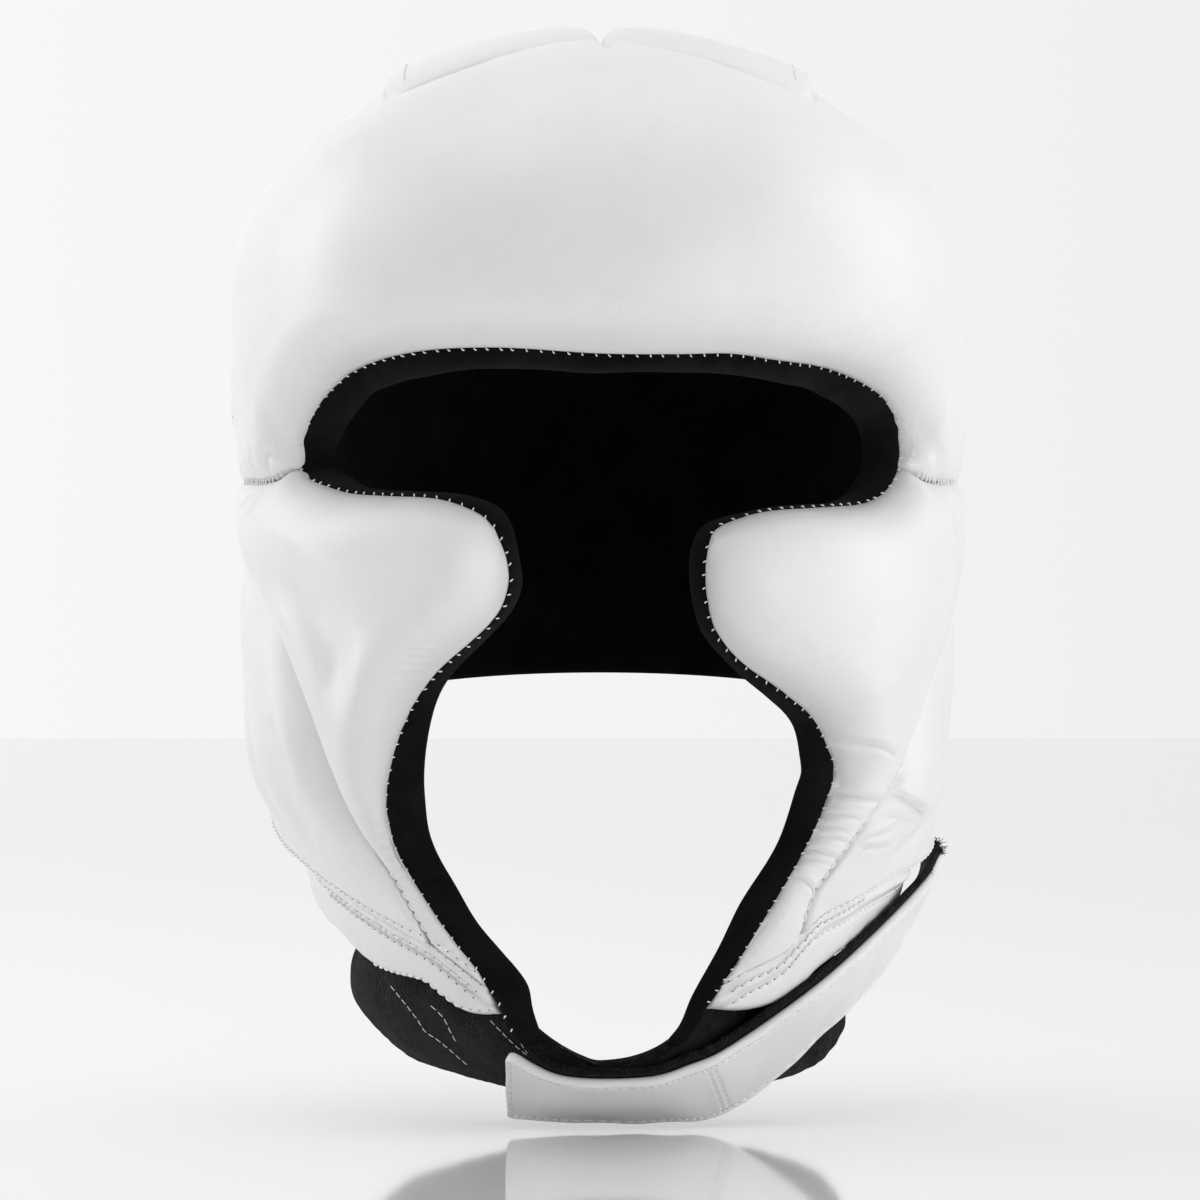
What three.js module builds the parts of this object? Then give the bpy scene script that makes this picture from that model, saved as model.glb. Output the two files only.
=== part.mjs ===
// Martial arts headgear: a padded leather shell with a suede lining, an open face,
// a black under-chin sling and two hook-and-loop straps.
// Millimetres, +Z up. The face looks along -Y. The origin is the top of the head it sits on.
// Left and right are the wearer's: +X is left.
import * as THREE from 'three';

// ---------------------------------------------------------------- driving dimensions

const WIDEST = -60; // height where the dome of the crown meets the walls
const DOME_RISE = 60; // the lining's rise from there to the top of the head
const DOME_TOP_SHARE = 0.64; // how much of a pad's thickness shows at the very top
const DOME_FULLNESS = 1.12; // above 1 gives shoulders a little less full than an ellipse
const PLAN_POWER = 2.25; // superellipse power of the plan, 2 is an ellipse

// The inside of the lining: half-widths of the plan at each level.
const LEVELS = [
  { height: -60, side: 80, front: 96, back: 96 },
  { height: -90, side: 80, front: 97.5, back: 95 },
  { height: -115, side: 79.5, front: 97, back: 90 },
  { height: -150, side: 78, front: 95.5, back: 82 },
  { height: -185, side: 75.5, front: 94, back: 74 },
  { height: -211, side: 72, front: 92.5, back: 68 },
  { height: -235, side: 66, front: 90.5, back: 62 },
  { height: -262, side: 52, front: 87, back: 56 },
];

const LINING = 2.4; // lining thickness
const PAD_INNER = 3.4; // where the pads start, out from the lining's inner face
const SEAM_GAP = 1; // between two pads at a seam
const TIP_RISE = { turn: 0.8, height: 1.4 }; // from the hem to a cheek pad's edge above it
const CORNER_RISE = { turn: 1.5, height: 1 }; // from a crease's end to the side panel's corner
const STRAP = 2.6; // leather strap thickness
const HOOK = 2; // hook layer thickness

const mix = (a, b, t) => a + (b - a) * t;
// Thickness of each pad: full in the middle, and at each of its four edges. An edge that
// thickens along its way is a function of the place along it, from 0 to 1.
const { smoothstep } = THREE.MathUtils;
const atTemples = (s) => 10 + 6 * smoothstep(Math.abs(2 * s - 1), 0.4, 0.62);
const atCrease = (s) => 15 - 4 * smoothstep(s, 0.1, 0.35);
const atCheekTop = (s) => 10.5 + 8 * s ** 3;
const atCheekBack = (s) => 19.5 - 8 * smoothstep(s, 0.3, 0.85);
const FOREHEAD = { full: 21, brow: 8, edges: { top: 13, bottom: atTemples, front: 15, back: 15 } };
const CHEEK = { full: 23.5, edges: { top: atCheekTop, bottom: 10, front: 10.5, back: atCheekBack } };
const SIDE = { edges: { top: 14, front: atCrease, back: 13 } };
const CROWN = { full: 21, edges: { top: 13.5, bottom: 13, front: 13, back: 13 } };
const BACK = { full: 20.5, edges: { top: 13, bottom: 9, front: 13, back: 13 } };
const FLAP = { full: 9, edges: { front: 6 } };
const CROWN_SINK = { depth: 5, from: 49, to: 59 }; // beside the two middle lobes of the crown

// ---------------------------------------------------------------- outlines
// Every outline is on the lining: turn is in degrees from the front, height in millimetres.

// Seam between the forehead pad and the crown, from the middle to the back panel.
const CROWN_SEAM = [
  { turn: 0, height: -6 },
  { turn: 22, height: -9 },
  { turn: 43, height: -17 },
  { turn: 70, height: -26 },
  { turn: 95, height: -33 },
  { turn: 118, height: -36 },
];
const CROWN_BACK_HEIGHT = -36; // seam between the crown and the back panel

// Lower edge of the forehead pad from the middle to the eye corner. Reach is how far the
// lining roll stands into the opening beyond the leather.
const BROW = [
  { turn: 0, height: -82, reach: 4 },
  { turn: 14, height: -80.5, reach: 4 },
  { turn: 27, height: -81, reach: 4.5 },
  { turn: 38.5, height: -85.5, reach: 5 },
  { turn: 46, height: -92, reach: 6 },
  { turn: 52, height: -99, reach: 6.5 },
  { turn: 54, height: -105, reach: 6 },
  { turn: 54, height: -110, reach: 5 },
];
// From there back along the temple and over the ear opening.
const TEMPLE_SEAM = [
  { turn: 54, height: -110 },
  { turn: 60, height: -113 },
  { turn: 72, height: -113 },
  { turn: 84, height: -112 },
];
const EAR_TOP = [
  { turn: 84, height: -112 },
  { turn: 92, height: -106 },
  { turn: 101, height: -103 },
  { turn: 110, height: -106 },
  { turn: 118, height: -112 },
];
const EAR_BOTTOM = [
  { turn: 84, height: -112 },
  { turn: 92, height: -127 },
  { turn: 101, height: -134 },
  { turn: 110, height: -128 },
  { turn: 118, height: -113 },
];

// Upper edge of a cheek pad from the eye corner forward to its lobe.
const EYE_SLOT = [
  { turn: 54, height: -110, reach: 5 },
  { turn: 48.5, height: -115, reach: 3.5 },
  { turn: 41, height: -118, reach: 3 },
  { turn: 32, height: -119.5, reach: 3 },
  { turn: 24, height: -120.5, reach: 3 },
  { turn: 18.5, height: -123, reach: 3 },
  { turn: 14.8, height: -129.5, reach: 3 },
];

// What differs from side to side: the cheek's free edge down to the jaw tip, with the reach of
// the lining roll beyond it; the crease where the cheek pad laps the side panel; the stitched
// hem between the side panel and its jaw flap, and the flap's lower edge, both from the back
// panel to the jaw tip; and how thick the side panel and the flap are.
const towardsRear = (thin, thick, start, end) => (s) => mix(thin, thick, smoothstep(s, start, end));
const RIGHT = {
  sign: -1,
  name: 'right',
  freeEdge: [
    { turn: 14.8, height: -129.5, reach: 3 },
    { turn: 13, height: -140, reach: 2.5 },
    { turn: 15.5, height: -151, reach: 2 },
    { turn: 25, height: -164.5, reach: 2 },
    { turn: 30, height: -174.5, reach: 4 },
    { turn: 34.5, height: -190, reach: 8 },
    { turn: 35.8, height: -200, reach: 9.5 },
    { turn: 33.8, height: -211.5, reach: 9 },
    { turn: 30, height: -219.5, reach: 8 },
    { turn: 23.4, height: -233.5, reach: 7 },
    { turn: 19.6, height: -241.8, reach: 7 },
    { turn: 16.4, height: -250, reach: 7 },
  ],
  crease: [
    { turn: 84, height: -112 },
    { turn: 82, height: -123 },
    { turn: 71, height: -136 },
    { turn: 60, height: -145 },
    { turn: 53.7, height: -155.6 },
    { turn: 48, height: -172.7 },
    { turn: 44, height: -189.7 },
    { turn: 39.6, height: -205.3 },
    { turn: 33.7, height: -218.2 },
    { turn: 26.8, height: -234.9 },
  ],
  hem: [
    { turn: 118, height: -176 },
    { turn: 106, height: -191 },
    { turn: 95, height: -203 },
    { turn: 80, height: -211.5 },
    { turn: 54, height: -220.5 },
    { turn: 35, height: -230.3 },
    { turn: 27.7, height: -234.9 },
    { turn: 22.5, height: -240.5 },
    { turn: 17.8, height: -246.5 },
  ],
  flapEdge: [
    { turn: 118, height: -190 },
    { turn: 106, height: -206 },
    { turn: 95, height: -218.5 },
    { turn: 80, height: -228.5 },
    { turn: 60, height: -235 },
    { turn: 50.3, height: -240.8 },
    { turn: 39, height: -244.4 },
    { turn: 31, height: -246 },
    { turn: 24.2, height: -252.4 },
    { turn: 16.5, height: -253 },
  ],
  panel: { full: 21, bottom: towardsRear(12, 17, 0.35, 0.7) },
  flap: { top: towardsRear(11.5, 16.5, 0.45, 0.75), bottom: towardsRear(5.5, 8.5, 0.45, 0.85), back: 12 },
  flapSwell: 0.8,
};
const LEFT = {
  sign: 1,
  name: 'left',
  freeEdge: [
    { turn: 14.8, height: -129.5, reach: 3 },
    { turn: 15.4, height: -143, reach: 2.5 },
    { turn: 17.2, height: -154, reach: 2 },
    { turn: 28.7, height: -169.5, reach: 2.5 },
    { turn: 34.5, height: -176, reach: 3 },
    { turn: 38.4, height: -184, reach: 5.5 },
    { turn: 40.3, height: -190, reach: 7 },
    { turn: 38.5, height: -199, reach: 7 },
    { turn: 34, height: -211.5, reach: 5.5 },
    { turn: 27, height: -228, reach: 6 },
    { turn: 22, height: -240.5, reach: 4.6 },
    { turn: 17.4, height: -250.5, reach: 3.5 },
  ],
  crease: [
    { turn: 84, height: -112 },
    { turn: 84, height: -124 },
    { turn: 77, height: -140 },
    { turn: 60.3, height: -166.3 },
    { turn: 56, height: -181 },
    { turn: 49.6, height: -196.6 },
    { turn: 45.2, height: -203.3 },
    { turn: 35, height: -222.8 },
    { turn: 33, height: -232.8 },
  ],
  hem: [
    { turn: 118, height: -178 },
    { turn: 106, height: -196 },
    { turn: 95, height: -208 },
    { turn: 78, height: -216 },
    { turn: 57, height: -221 },
    { turn: 37.5, height: -228.3 },
    { turn: 30, height: -238 },
    { turn: 23.7, height: -242.2 },
    { turn: 19.3, height: -246 },
  ],
  flapEdge: [
    { turn: 118, height: -192 },
    { turn: 106, height: -209 },
    { turn: 95, height: -218 },
    { turn: 80, height: -228 },
    { turn: 51, height: -239.5 },
    { turn: 39, height: -248.6 },
    { turn: 33, height: -251.5 },
    { turn: 25, height: -252.7 },
    { turn: 17.6, height: -251.7 },
  ],
  panel: { full: 19.8, bottom: towardsRear(12, 19.6, 0.3, 0.62) },
  flap: { top: towardsRear(11, 19.6, 0.4, 0.68), bottom: towardsRear(5.8, 14, 0.35, 0.7), back: 14 },
  flapSwell: 4.5,
};

// Lower edge of the back panel, at the nape.
const NAPE = [
  { turn: 118, height: -174 },
  { turn: 148, height: -168 },
  { turn: 180, height: -166 },
];

// The sling: sections across the chin, from the front lip back. The rim is where it meets the
// inside of the flaps and the bottom is its lowest point. The bellies swell it between them,
// most on the right, where no strap holds it in.
const SLING_SECTIONS = [
  { middleY: -88, rimY: -83.5, halfWidth: 24.5, bellyRight: 0, bellyLeft: 0, rim: -238, bottom: -264 },
  { middleY: -82, rimY: -77, halfWidth: 33, bellyRight: 3, bellyLeft: 0, rim: -238, bottom: -268.6 },
  { middleY: -71, rimY: -67, halfWidth: 42, bellyRight: 7, bellyLeft: 0, rim: -237, bottom: -272.6 },
  { middleY: -53, rimY: -50, halfWidth: 54, bellyRight: 11, bellyLeft: 0, rim: -236, bottom: -277 },
  { middleY: -38, rimY: -37, halfWidth: 59.5, bellyRight: 15, bellyLeft: 1, rim: -235, bottom: -278 },
  { middleY: -22, rimY: -22, halfWidth: 61, bellyRight: 19, bellyLeft: 15.5, rim: -234, bottom: -279.6 },
];
const SLING_THICKNESS = 4.5;
const SLING_POWER = 2.25; // superellipse power of each section
const SLING_SQUARENESS = 1.4; // added to the power at the left of the rear section

// The chin strap's two long edges, from its square end under the chin to its upper end beside
// the left jaw flap.
const CHIN_STRAP = [
  { frontX: -25, frontY: -88, frontZ: -264, rearX: -25, rearY: -58, rearZ: -283 },
  { frontX: -10, frontY: -91, frontZ: -271, rearX: -10, rearY: -57, rearZ: -284 },
  { frontX: 12, frontY: -90, frontZ: -271.5, rearX: 14, rearY: -56, rearZ: -284.3 },
  { frontX: 24, frontY: -87.5, frontZ: -268.2, rearX: 29, rearY: -53, rearZ: -283.4 },
  { frontX: 35, frontY: -83, frontZ: -263.5, rearX: 41, rearY: -49, rearZ: -278 },
  { frontX: 57, frontY: -67.5, frontZ: -249.5, rearX: 64.5, rearY: -35, rearZ: -258.5 },
  { frontX: 75, frontY: -43, frontZ: -236, rearX: 81.5, rearY: -8, rearZ: -241.5 },
  { frontX: 90.2, frontY: -14, frontZ: -223.4, rearX: 92.3, rearY: 20, rearZ: -223 },
  { frontX: 95.2, frontY: 1, frontZ: -216.8, rearX: 91.4, rearY: 33, rearZ: -209.5 },
];
const CHIN_HOOK_REACH = 3; // how far the hook layer stands out past the strap's front edge
const CHIN_HOOK_START = 0.02; // the share of the strap, at its square end, without hooks

// The strap round the back of the head.
const REAR_STRAP = { top: -69, bottom: -97, offset: 19, freeTurn: -84, sewnTurn: 116, hookEnd: 0.4 };
const STRAP_DENT = { depth: 4.2, reach: 22 }; // how far the strap presses the pads in, and how high

// ---------------------------------------------------------------- the head form

// Smooth value through a table's rows, by the named column.
function through(rows, at, position, column) {
  let i = 0;
  while (i < rows.length - 2 && at(rows[i + 1]) < position) i += 1;
  const slope = (k) => {
    const before = rows[Math.max(k - 1, 0)];
    const after = rows[Math.min(k + 1, rows.length - 1)];
    return (after[column] - before[column]) / (at(after) - at(before));
  };
  const span = at(rows[i + 1]) - at(rows[i]);
  const t = Math.min(Math.max((position - at(rows[i])) / span, 0), 1);
  const start = rows[i][column];
  const end = rows[i + 1][column];
  const startSlope = slope(i) * span;
  const endSlope = slope(i + 1) * span;
  return (
    start * (1 + 2 * t) * (1 - t) ** 2 +
    end * t * t * (3 - 2 * t) +
    startSlope * t * (1 - t) ** 2 -
    endSlope * t * t * (1 - t)
  );
}

const levelSize = (height, column) => through(LEVELS, (row) => -row.height, -height, column);

// Fall is 0 at the top of the head, 1 at the widest level, and 1 more for each 100 mm below.
const FALL_STEP = 100;
function fallAt(height) {
  if (height <= WIDEST) return 1 + (WIDEST - height) / FALL_STEP;
  return Math.acos((height - WIDEST) / DOME_RISE) / (Math.PI / 2);
}

// A point at a turn and a fall, at an offset out from the lining's inner face.
function formPoint(turn, fall, offset) {
  const angle = THREE.MathUtils.degToRad(turn);
  const dome = (Math.min(fall, 1) * Math.PI) / 2;
  const height = fall <= 1
    ? WIDEST + (DOME_RISE + DOME_TOP_SHARE * offset) * Math.cos(dome)
    : WIDEST - FALL_STEP * (fall - 1);
  const shrink = Math.sin(dome) ** DOME_FULLNESS;
  const level = Math.min(height, WIDEST);
  const side = (levelSize(level, 'side') + offset) * shrink;
  const depthColumn = Math.cos(angle) > 0 ? 'front' : 'back';
  const depth = (levelSize(level, depthColumn) + offset) * shrink;
  const across = Math.abs(Math.sin(angle)) / Math.max(side, 1e-6);
  const along = Math.abs(Math.cos(angle)) / Math.max(depth, 1e-6);
  const radius = (across ** PLAN_POWER + along ** PLAN_POWER) ** (-1 / PLAN_POWER);
  return new THREE.Vector3(radius * Math.sin(angle), -radius * Math.cos(angle), height);
}

// ---------------------------------------------------------------- curves and patches
// A curve takes 0..1 to a place { turn, fall }.

const TURN_LENGTH = 1.75; // millimetres of wall for a degree of turn
const CHEEK_FADE = 3; // how soon a cheek pad's grid loses the shape of its upper edge

// A curve through one or more tables, smooth within each. Its stations are the places along
// it where a grid line falls: every row, and between rows that lie further apart.
function outline(...tables) {
  const runs = [];
  let total = 0;
  for (const table of tables) {
    let length = 0;
    const rows = table.map((row, i) => {
      const last = table[Math.max(i - 1, 0)];
      length += Math.hypot((row.turn - last.turn) * TURN_LENGTH, row.height - last.height);
      return { ...row, length };
    });
    runs.push({ start: total, rows });
    total += length;
  }
  const curve = (t) => {
    const position = t * total;
    const run = runs.findLast(({ start }) => start <= position + 1e-9);
    const value = (column) => through(run.rows, (row) => row.length, position - run.start, column);
    return {
      turn: value('turn'),
      fall: fallAt(value('height')),
      reach: run.rows[0].reach === undefined ? 0 : value('reach'),
    };
  };
  curve.stations = (longest) => {
    const places = [0];
    for (const { start, rows } of runs) {
      for (let i = 1; i < rows.length; i += 1) {
        const span = rows[i].length - rows[i - 1].length;
        const parts = Math.ceil(span / longest);
        for (let k = 1; k <= parts; k += 1) {
          places.push((start + rows[i - 1].length + (span * k) / parts) / total);
        }
      }
    }
    return places;
  };
  return curve;
}

const reversed = (table) => [...table].reverse();
const raised = (row, rise) => ({ turn: row.turn + rise.turn, height: row.height + rise.height });
const mirrored = (sign, table) => table.map((row) => ({ ...row, turn: sign * row.turn }));
const bothSides = (...tables) => {
  const right = reversed(tables).map((table) => mirrored(-1, reversed(table)));
  return [...right, ...tables];
};

// Coons patch between four outlines: top and bottom run with u, front and back with v. With
// fade above 1 the top's shape is lost sooner on the way down.
function patch(top, bottom, front, back, fade = 1) {
  return (u, v) => {
    const place = {};
    const down = 1 - (1 - v) ** fade;
    for (const key of ['turn', 'fall']) {
      const ruled = mix(top(u)[key], bottom(u)[key], down) + mix(front(v)[key], back(v)[key], u);
      const upper = mix(top(0)[key], top(1)[key], u);
      const lower = mix(bottom(0)[key], bottom(1)[key], u);
      place[key] = ruled - mix(upper, lower, down);
    }
    return place;
  };
}

// The crown is laid out on a flat disc around the top of the head, where turn and fall are
// polar, so that its pads can cross the top.
const toDisc = ({ turn, fall }) => {
  const angle = THREE.MathUtils.degToRad(turn);
  return { x: fall * Math.sin(angle), y: -fall * Math.cos(angle) };
};
const fromDisc = (x, y) => ({
  turn: THREE.MathUtils.radToDeg(Math.atan2(x, -y)),
  fall: Math.hypot(x, y),
});

// Grid lines: uniform, or a little closer together near the edges, where a pad rounds over.
const uniform = (count) => Array.from({ length: count + 1 }, (_, i) => i / count);
const even = (count) => Array.from({ length: count + 1 }, (_, i) => {
  const s = i / count;
  return s - 0.06 * Math.sin(2 * Math.PI * s);
});
const rounding = (s) => Math.sqrt(Math.max(1 - Math.abs(2 * s - 1) ** 3.2, 0));

// A pad's outer offset: its full thickness in the middle, easing to each edge's own.
function padOffset({ full, edges }, extra = () => 0) {
  const near = (s) => 1 / (s + 0.03);
  return (u, v, place) => {
    const weights = { top: near(v), bottom: near(1 - v), front: near(u), back: near(1 - u) };
    let sum = 0;
    let total = 0;
    for (const [edge, weight] of Object.entries(weights)) {
      const along = edge === 'top' || edge === 'bottom' ? u : v;
      sum += (typeof edges[edge] === 'function' ? edges[edge](along) : edges[edge]) * weight;
      total += weight;
    }
    const edgeOffset = sum / total;
    return edgeOffset + (full + extra(place) - edgeOffset) * rounding(u) * rounding(v);
  };
}

// The dent that the rear strap presses into the pads under it.
function strapDent({ turn, fall }) {
  const middle = (fallAt(REAR_STRAP.top) + fallAt(REAR_STRAP.bottom)) / 2;
  const away = (Math.abs(fall - middle) * FALL_STEP) / STRAP_DENT.reach;
  const free = smoothstep(-turn, 74, 82);
  const sewn = smoothstep(turn, 104, 114);
  return -STRAP_DENT.depth * Math.max(free, sewn) * (1 - smoothstep(away, 0.6, 1.3));
}

// The crown is lower on either side of its two middle lobes.
function crownSink({ turn, fall }) {
  const across = Math.abs(formPoint(turn, fall, 0).x);
  return -CROWN_SINK.depth * smoothstep(across, CROWN_SINK.from, CROWN_SINK.to);
}

// ---------------------------------------------------------------- solids

function signedVolume(positions, indices) {
  const corners = [new THREE.Vector3(), new THREE.Vector3(), new THREE.Vector3()];
  let volume = 0;
  for (let i = 0; i < indices.length; i += 3) {
    corners.forEach((corner, k) => corner.fromArray(positions, indices[i + k] * 3));
    volume += corners[0].dot(corners[1].clone().cross(corners[2])) / 6;
  }
  return volume;
}

function solid(points, triangles) {
  const positions = points.flatMap((point) => point.toArray());
  const indices = triangles.flat();
  if (signedVolume(positions, indices) < 0) {
    for (let i = 0; i < indices.length; i += 3) {
      [indices[i], indices[i + 1]] = [indices[i + 1], indices[i]];
    }
  }
  const geometry = new THREE.BufferGeometry();
  geometry.setAttribute('position', new THREE.Float32BufferAttribute(positions, 3));
  geometry.setIndex(indices);
  geometry.computeVertexNormals();
  return geometry;
}

// Two grids of points, one inside the other, closed along their four edges. Columns and rows
// are the u and v of the grid lines.
function slab(columns, rows, innerPoint, outerPoint) {
  const points = [];
  const wide = columns.length;
  const high = rows.length;
  for (const surface of [innerPoint, outerPoint]) {
    for (const v of rows) {
      for (const u of columns) points.push(surface(u, v));
    }
  }
  const outerStart = wide * high;
  const triangles = [];
  const quad = (a, b, c, d) => triangles.push([a, b, c], [a, c, d]);
  for (let j = 0; j < high - 1; j += 1) {
    for (let i = 0; i < wide - 1; i += 1) {
      const a = j * wide + i;
      quad(a, a + 1, a + wide + 1, a + wide);
      quad(outerStart + a, outerStart + a + wide, outerStart + a + wide + 1, outerStart + a + 1);
    }
  }
  const wall = (a, b) => quad(a, outerStart + a, outerStart + b, b);
  for (let i = 0; i < wide - 1; i += 1) {
    wall(i, i + 1);
    wall((high - 1) * wide + i + 1, (high - 1) * wide + i);
  }
  for (let j = 0; j < high - 1; j += 1) {
    wall((j + 1) * wide, j * wide);
    wall(j * wide + wide - 1, (j + 1) * wide + wide - 1);
  }
  return solid(points, triangles);
}

// A region shrunk by half a seam gap on each edge, so that neighbours stay apart.
function inset(region) {
  const apart = (a, b) => formPoint(a.turn, a.fall, 0).distanceTo(formPoint(b.turn, b.fall, 0));
  return (u, v) => {
    const middle = region(0.5, v);
    const across = apart(region(0, v), middle) + apart(middle, region(1, v));
    const waist = region(u, 0.5);
    const down = apart(region(u, 0), waist) + apart(waist, region(u, 1));
    const cutU = SEAM_GAP / 2 / Math.max(across, 3);
    const cutV = SEAM_GAP / 2 / Math.max(down, 3);
    return region(mix(cutU, 1 - cutU, u), mix(cutV, 1 - cutV, v));
  };
}

// The lining of a region keeps the pad's columns, so that their faces run parallel.
function padSolid({ region, columns, rows }, outer) {
  const inner = inset(region);
  const surface = (offset) => (u, v) => {
    const place = inner(u, v);
    return formPoint(place.turn, place.fall, offset(u, v, place));
  };
  return slab(columns, rows, surface(() => PAD_INNER), surface(outer));
}

function liningSolid({ region, columns, rows, liningRows = rows }) {
  const inner = inset(region);
  const surface = (offset) => (u, v) => {
    const place = inner(u, v);
    return formPoint(place.turn, place.fall, offset);
  };
  return slab(columns, liningRows, surface(0), surface(LINING));
}

// ---------------------------------------------------------------- pad regions

function foreheadRegion() {
  const top = outline(...bothSides(CROWN_SEAM));
  const bottom = outline(...bothSides(BROW, TEMPLE_SEAM, EAR_TOP));
  const end = (sign) => outline(mirrored(sign, [CROWN_SEAM.at(-1), EAR_TOP.at(-1)]));
  const region = patch(top, bottom, end(-1), end(1));
  return { region, columns: bottom.stations(17), rows: even(10), liningRows: even(6) };
}

function cheekRegion(side) {
  const lay = (...tables) => outline(...tables.map((table) => mirrored(side.sign, table)));
  const freeEdge = side.freeEdge.slice(0, -1);
  const hemFront = side.hem.filter(({ turn }) => turn < side.crease.at(-1).turn - 2);
  const overHem = hemFront.map((row) => raised(row, TIP_RISE));
  const top = lay(reversed(EYE_SLOT), TEMPLE_SEAM);
  const front = lay(freeEdge);
  const back = lay([...side.crease, ...overHem]);
  const bottom = lay([freeEdge.at(-1), overHem.at(-1)]);
  const region = patch(top, bottom, front, back, CHEEK_FADE);
  return { region, columns: top.stations(15), rows: front.stations(12) };
}

function sideRegion(side) {
  const lay = (table) => outline(mirrored(side.sign, table));
  const end = side.crease.at(-1);
  const corner = raised(end, CORNER_RISE);
  const hemRear = reversed(side.hem).filter(({ turn }) => turn > end.turn + 3);
  const top = lay(EAR_BOTTOM);
  const front = lay([...side.crease.slice(0, -1), corner]);
  const back = lay([EAR_BOTTOM.at(-1), side.hem[0]]);
  const bottom = lay([corner, ...hemRear]);
  return { region: patch(top, bottom, front, back), columns: bottom.stations(18), rows: front.stations(14) };
}

function flapRegion(side) {
  const lay = (table) => outline(mirrored(side.sign, table));
  const top = reversed(side.hem).map((row) => ({ ...row, height: row.height - 0.3 }));
  const bottom = reversed(side.flapEdge);
  const front = lay([top[0], bottom[0]]);
  const back = lay([top.at(-1), bottom.at(-1)]);
  const columns = lay(top).stations(15);
  return { region: patch(lay(top), lay(bottom), front, back), columns, rows: even(3) };
}

function crownRegion(side) {
  const seam = outline(mirrored(side.sign, [
    ...CROWN_SEAM,
    { turn: 150, height: CROWN_BACK_HEIGHT },
    { turn: 180, height: CROWN_BACK_HEIGHT },
  ]));
  const frontEnd = toDisc(seam(0));
  const backEnd = toDisc(seam(1));
  const region = (u, v) => {
    const outer = toDisc(seam(mix(0.045, 0.955, u)));
    return fromDisc(mix(0, outer.x, v), mix(mix(frontEnd.y, backEnd.y, u), outer.y, v));
  };
  return { region, columns: even(16), rows: even(8), liningRows: even(5) };
}

function backRegion() {
  const across = (table) => reversed(table).slice(1).map((row) => ({ ...row, turn: 360 - row.turn }));
  const around = (table) => [...table, ...across(table)];
  const top = around([118, 150, 180].map((turn) => ({ turn, height: CROWN_BACK_HEIGHT })));
  const bottom = around(NAPE);
  const front = outline([top[0], bottom[0]]);
  const back = outline([top.at(-1), bottom.at(-1)]);
  const region = patch(outline(top), outline(bottom), front, back);
  return { region, columns: even(14), rows: even(9), liningRows: even(6) };
}

// ---------------------------------------------------------------- rolls, sling and straps

// The lining roll round the face opening: a rounded wedge from the leather's edge to the
// inside, swept along the opening's outline.
const ROLL_SECTION = [
  { out: 0.06, offset: 0.2 },
  { out: 0.06, offset: 8.6 },
  { out: 0.4, offset: 8 },
  { out: 0.75, offset: 6 },
  { out: 0.96, offset: 3.4 },
  { out: 1, offset: 1.2 },
  { out: 0.9, offset: 0.2 },
];

function rollSolid(curve) {
  const points = [];
  const around = ROLL_SECTION.length;
  const stations = curve.stations(12);
  const short = 0.006; // of the curve's length, either side of a station, to find its direction
  stations.forEach((station) => {
    const t = mix(0.002, 0.998, station);
    const place = curve(t);
    const before = curve(Math.max(t - short, 0));
    const after = curve(Math.min(t + short, 1));
    const turnRun = (after.turn - before.turn) * TURN_LENGTH;
    const fallRun = (after.fall - before.fall) * FALL_STEP;
    const length = Math.hypot(turnRun, fallRun);
    for (const corner of ROLL_SECTION) {
      const step = SEAM_GAP / 2 + corner.out * place.reach;
      const turn = place.turn - ((step * fallRun) / length) / TURN_LENGTH;
      const fall = place.fall + ((step * turnRun) / length) / FALL_STEP;
      points.push(formPoint(turn, fall, corner.offset));
    }
  });
  const triangles = [];
  const steps = stations.length - 1;
  for (let i = 0; i < steps; i += 1) {
    for (let k = 0; k < around; k += 1) {
      const a = i * around + k;
      const b = i * around + ((k + 1) % around);
      triangles.push([a, b, b + around], [a, b + around, a + around]);
    }
  }
  for (let k = 1; k < around - 1; k += 1) {
    const last = steps * around;
    triangles.push([0, k + 1, k], [last, last + k, last + k + 1]);
  }
  return solid(points, triangles);
}

function slingSolid() {
  const at = (row) => row.middleY;
  const first = SLING_SECTIONS[0].middleY;
  const last = SLING_SECTIONS.at(-1).middleY;
  const surface = (inward) => (u, v) => {
    const size = (column) => through(SLING_SECTIONS, at, mix(first, last, v), column);
    const angle = mix(-Math.PI / 2, Math.PI / 2, u);
    const power = SLING_POWER + SLING_SQUARENESS * smoothstep(u, 0.4, 0.6) * smoothstep(v, 0.6, 1);
    const soft = (value) => Math.sign(value) * Math.abs(value) ** (2 / power);
    const belly = size(angle < 0 ? 'bellyRight' : 'bellyLeft');
    const slack = Math.sqrt(Math.cos(angle)) * Math.abs(Math.sin(angle));
    const halfWidth = size('halfWidth') + belly * slack - inward;
    const x = halfWidth * soft(Math.sin(angle));
    const y = mix(size('middleY'), size('rimY'), Math.sin(angle) ** 2);
    const z = size('rim') - (size('rim') - size('bottom') - inward) * soft(Math.cos(angle));
    return new THREE.Vector3(x, y, z);
  };
  return slab(even(24), even(8), surface(SLING_THICKNESS), surface(0));
}

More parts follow.
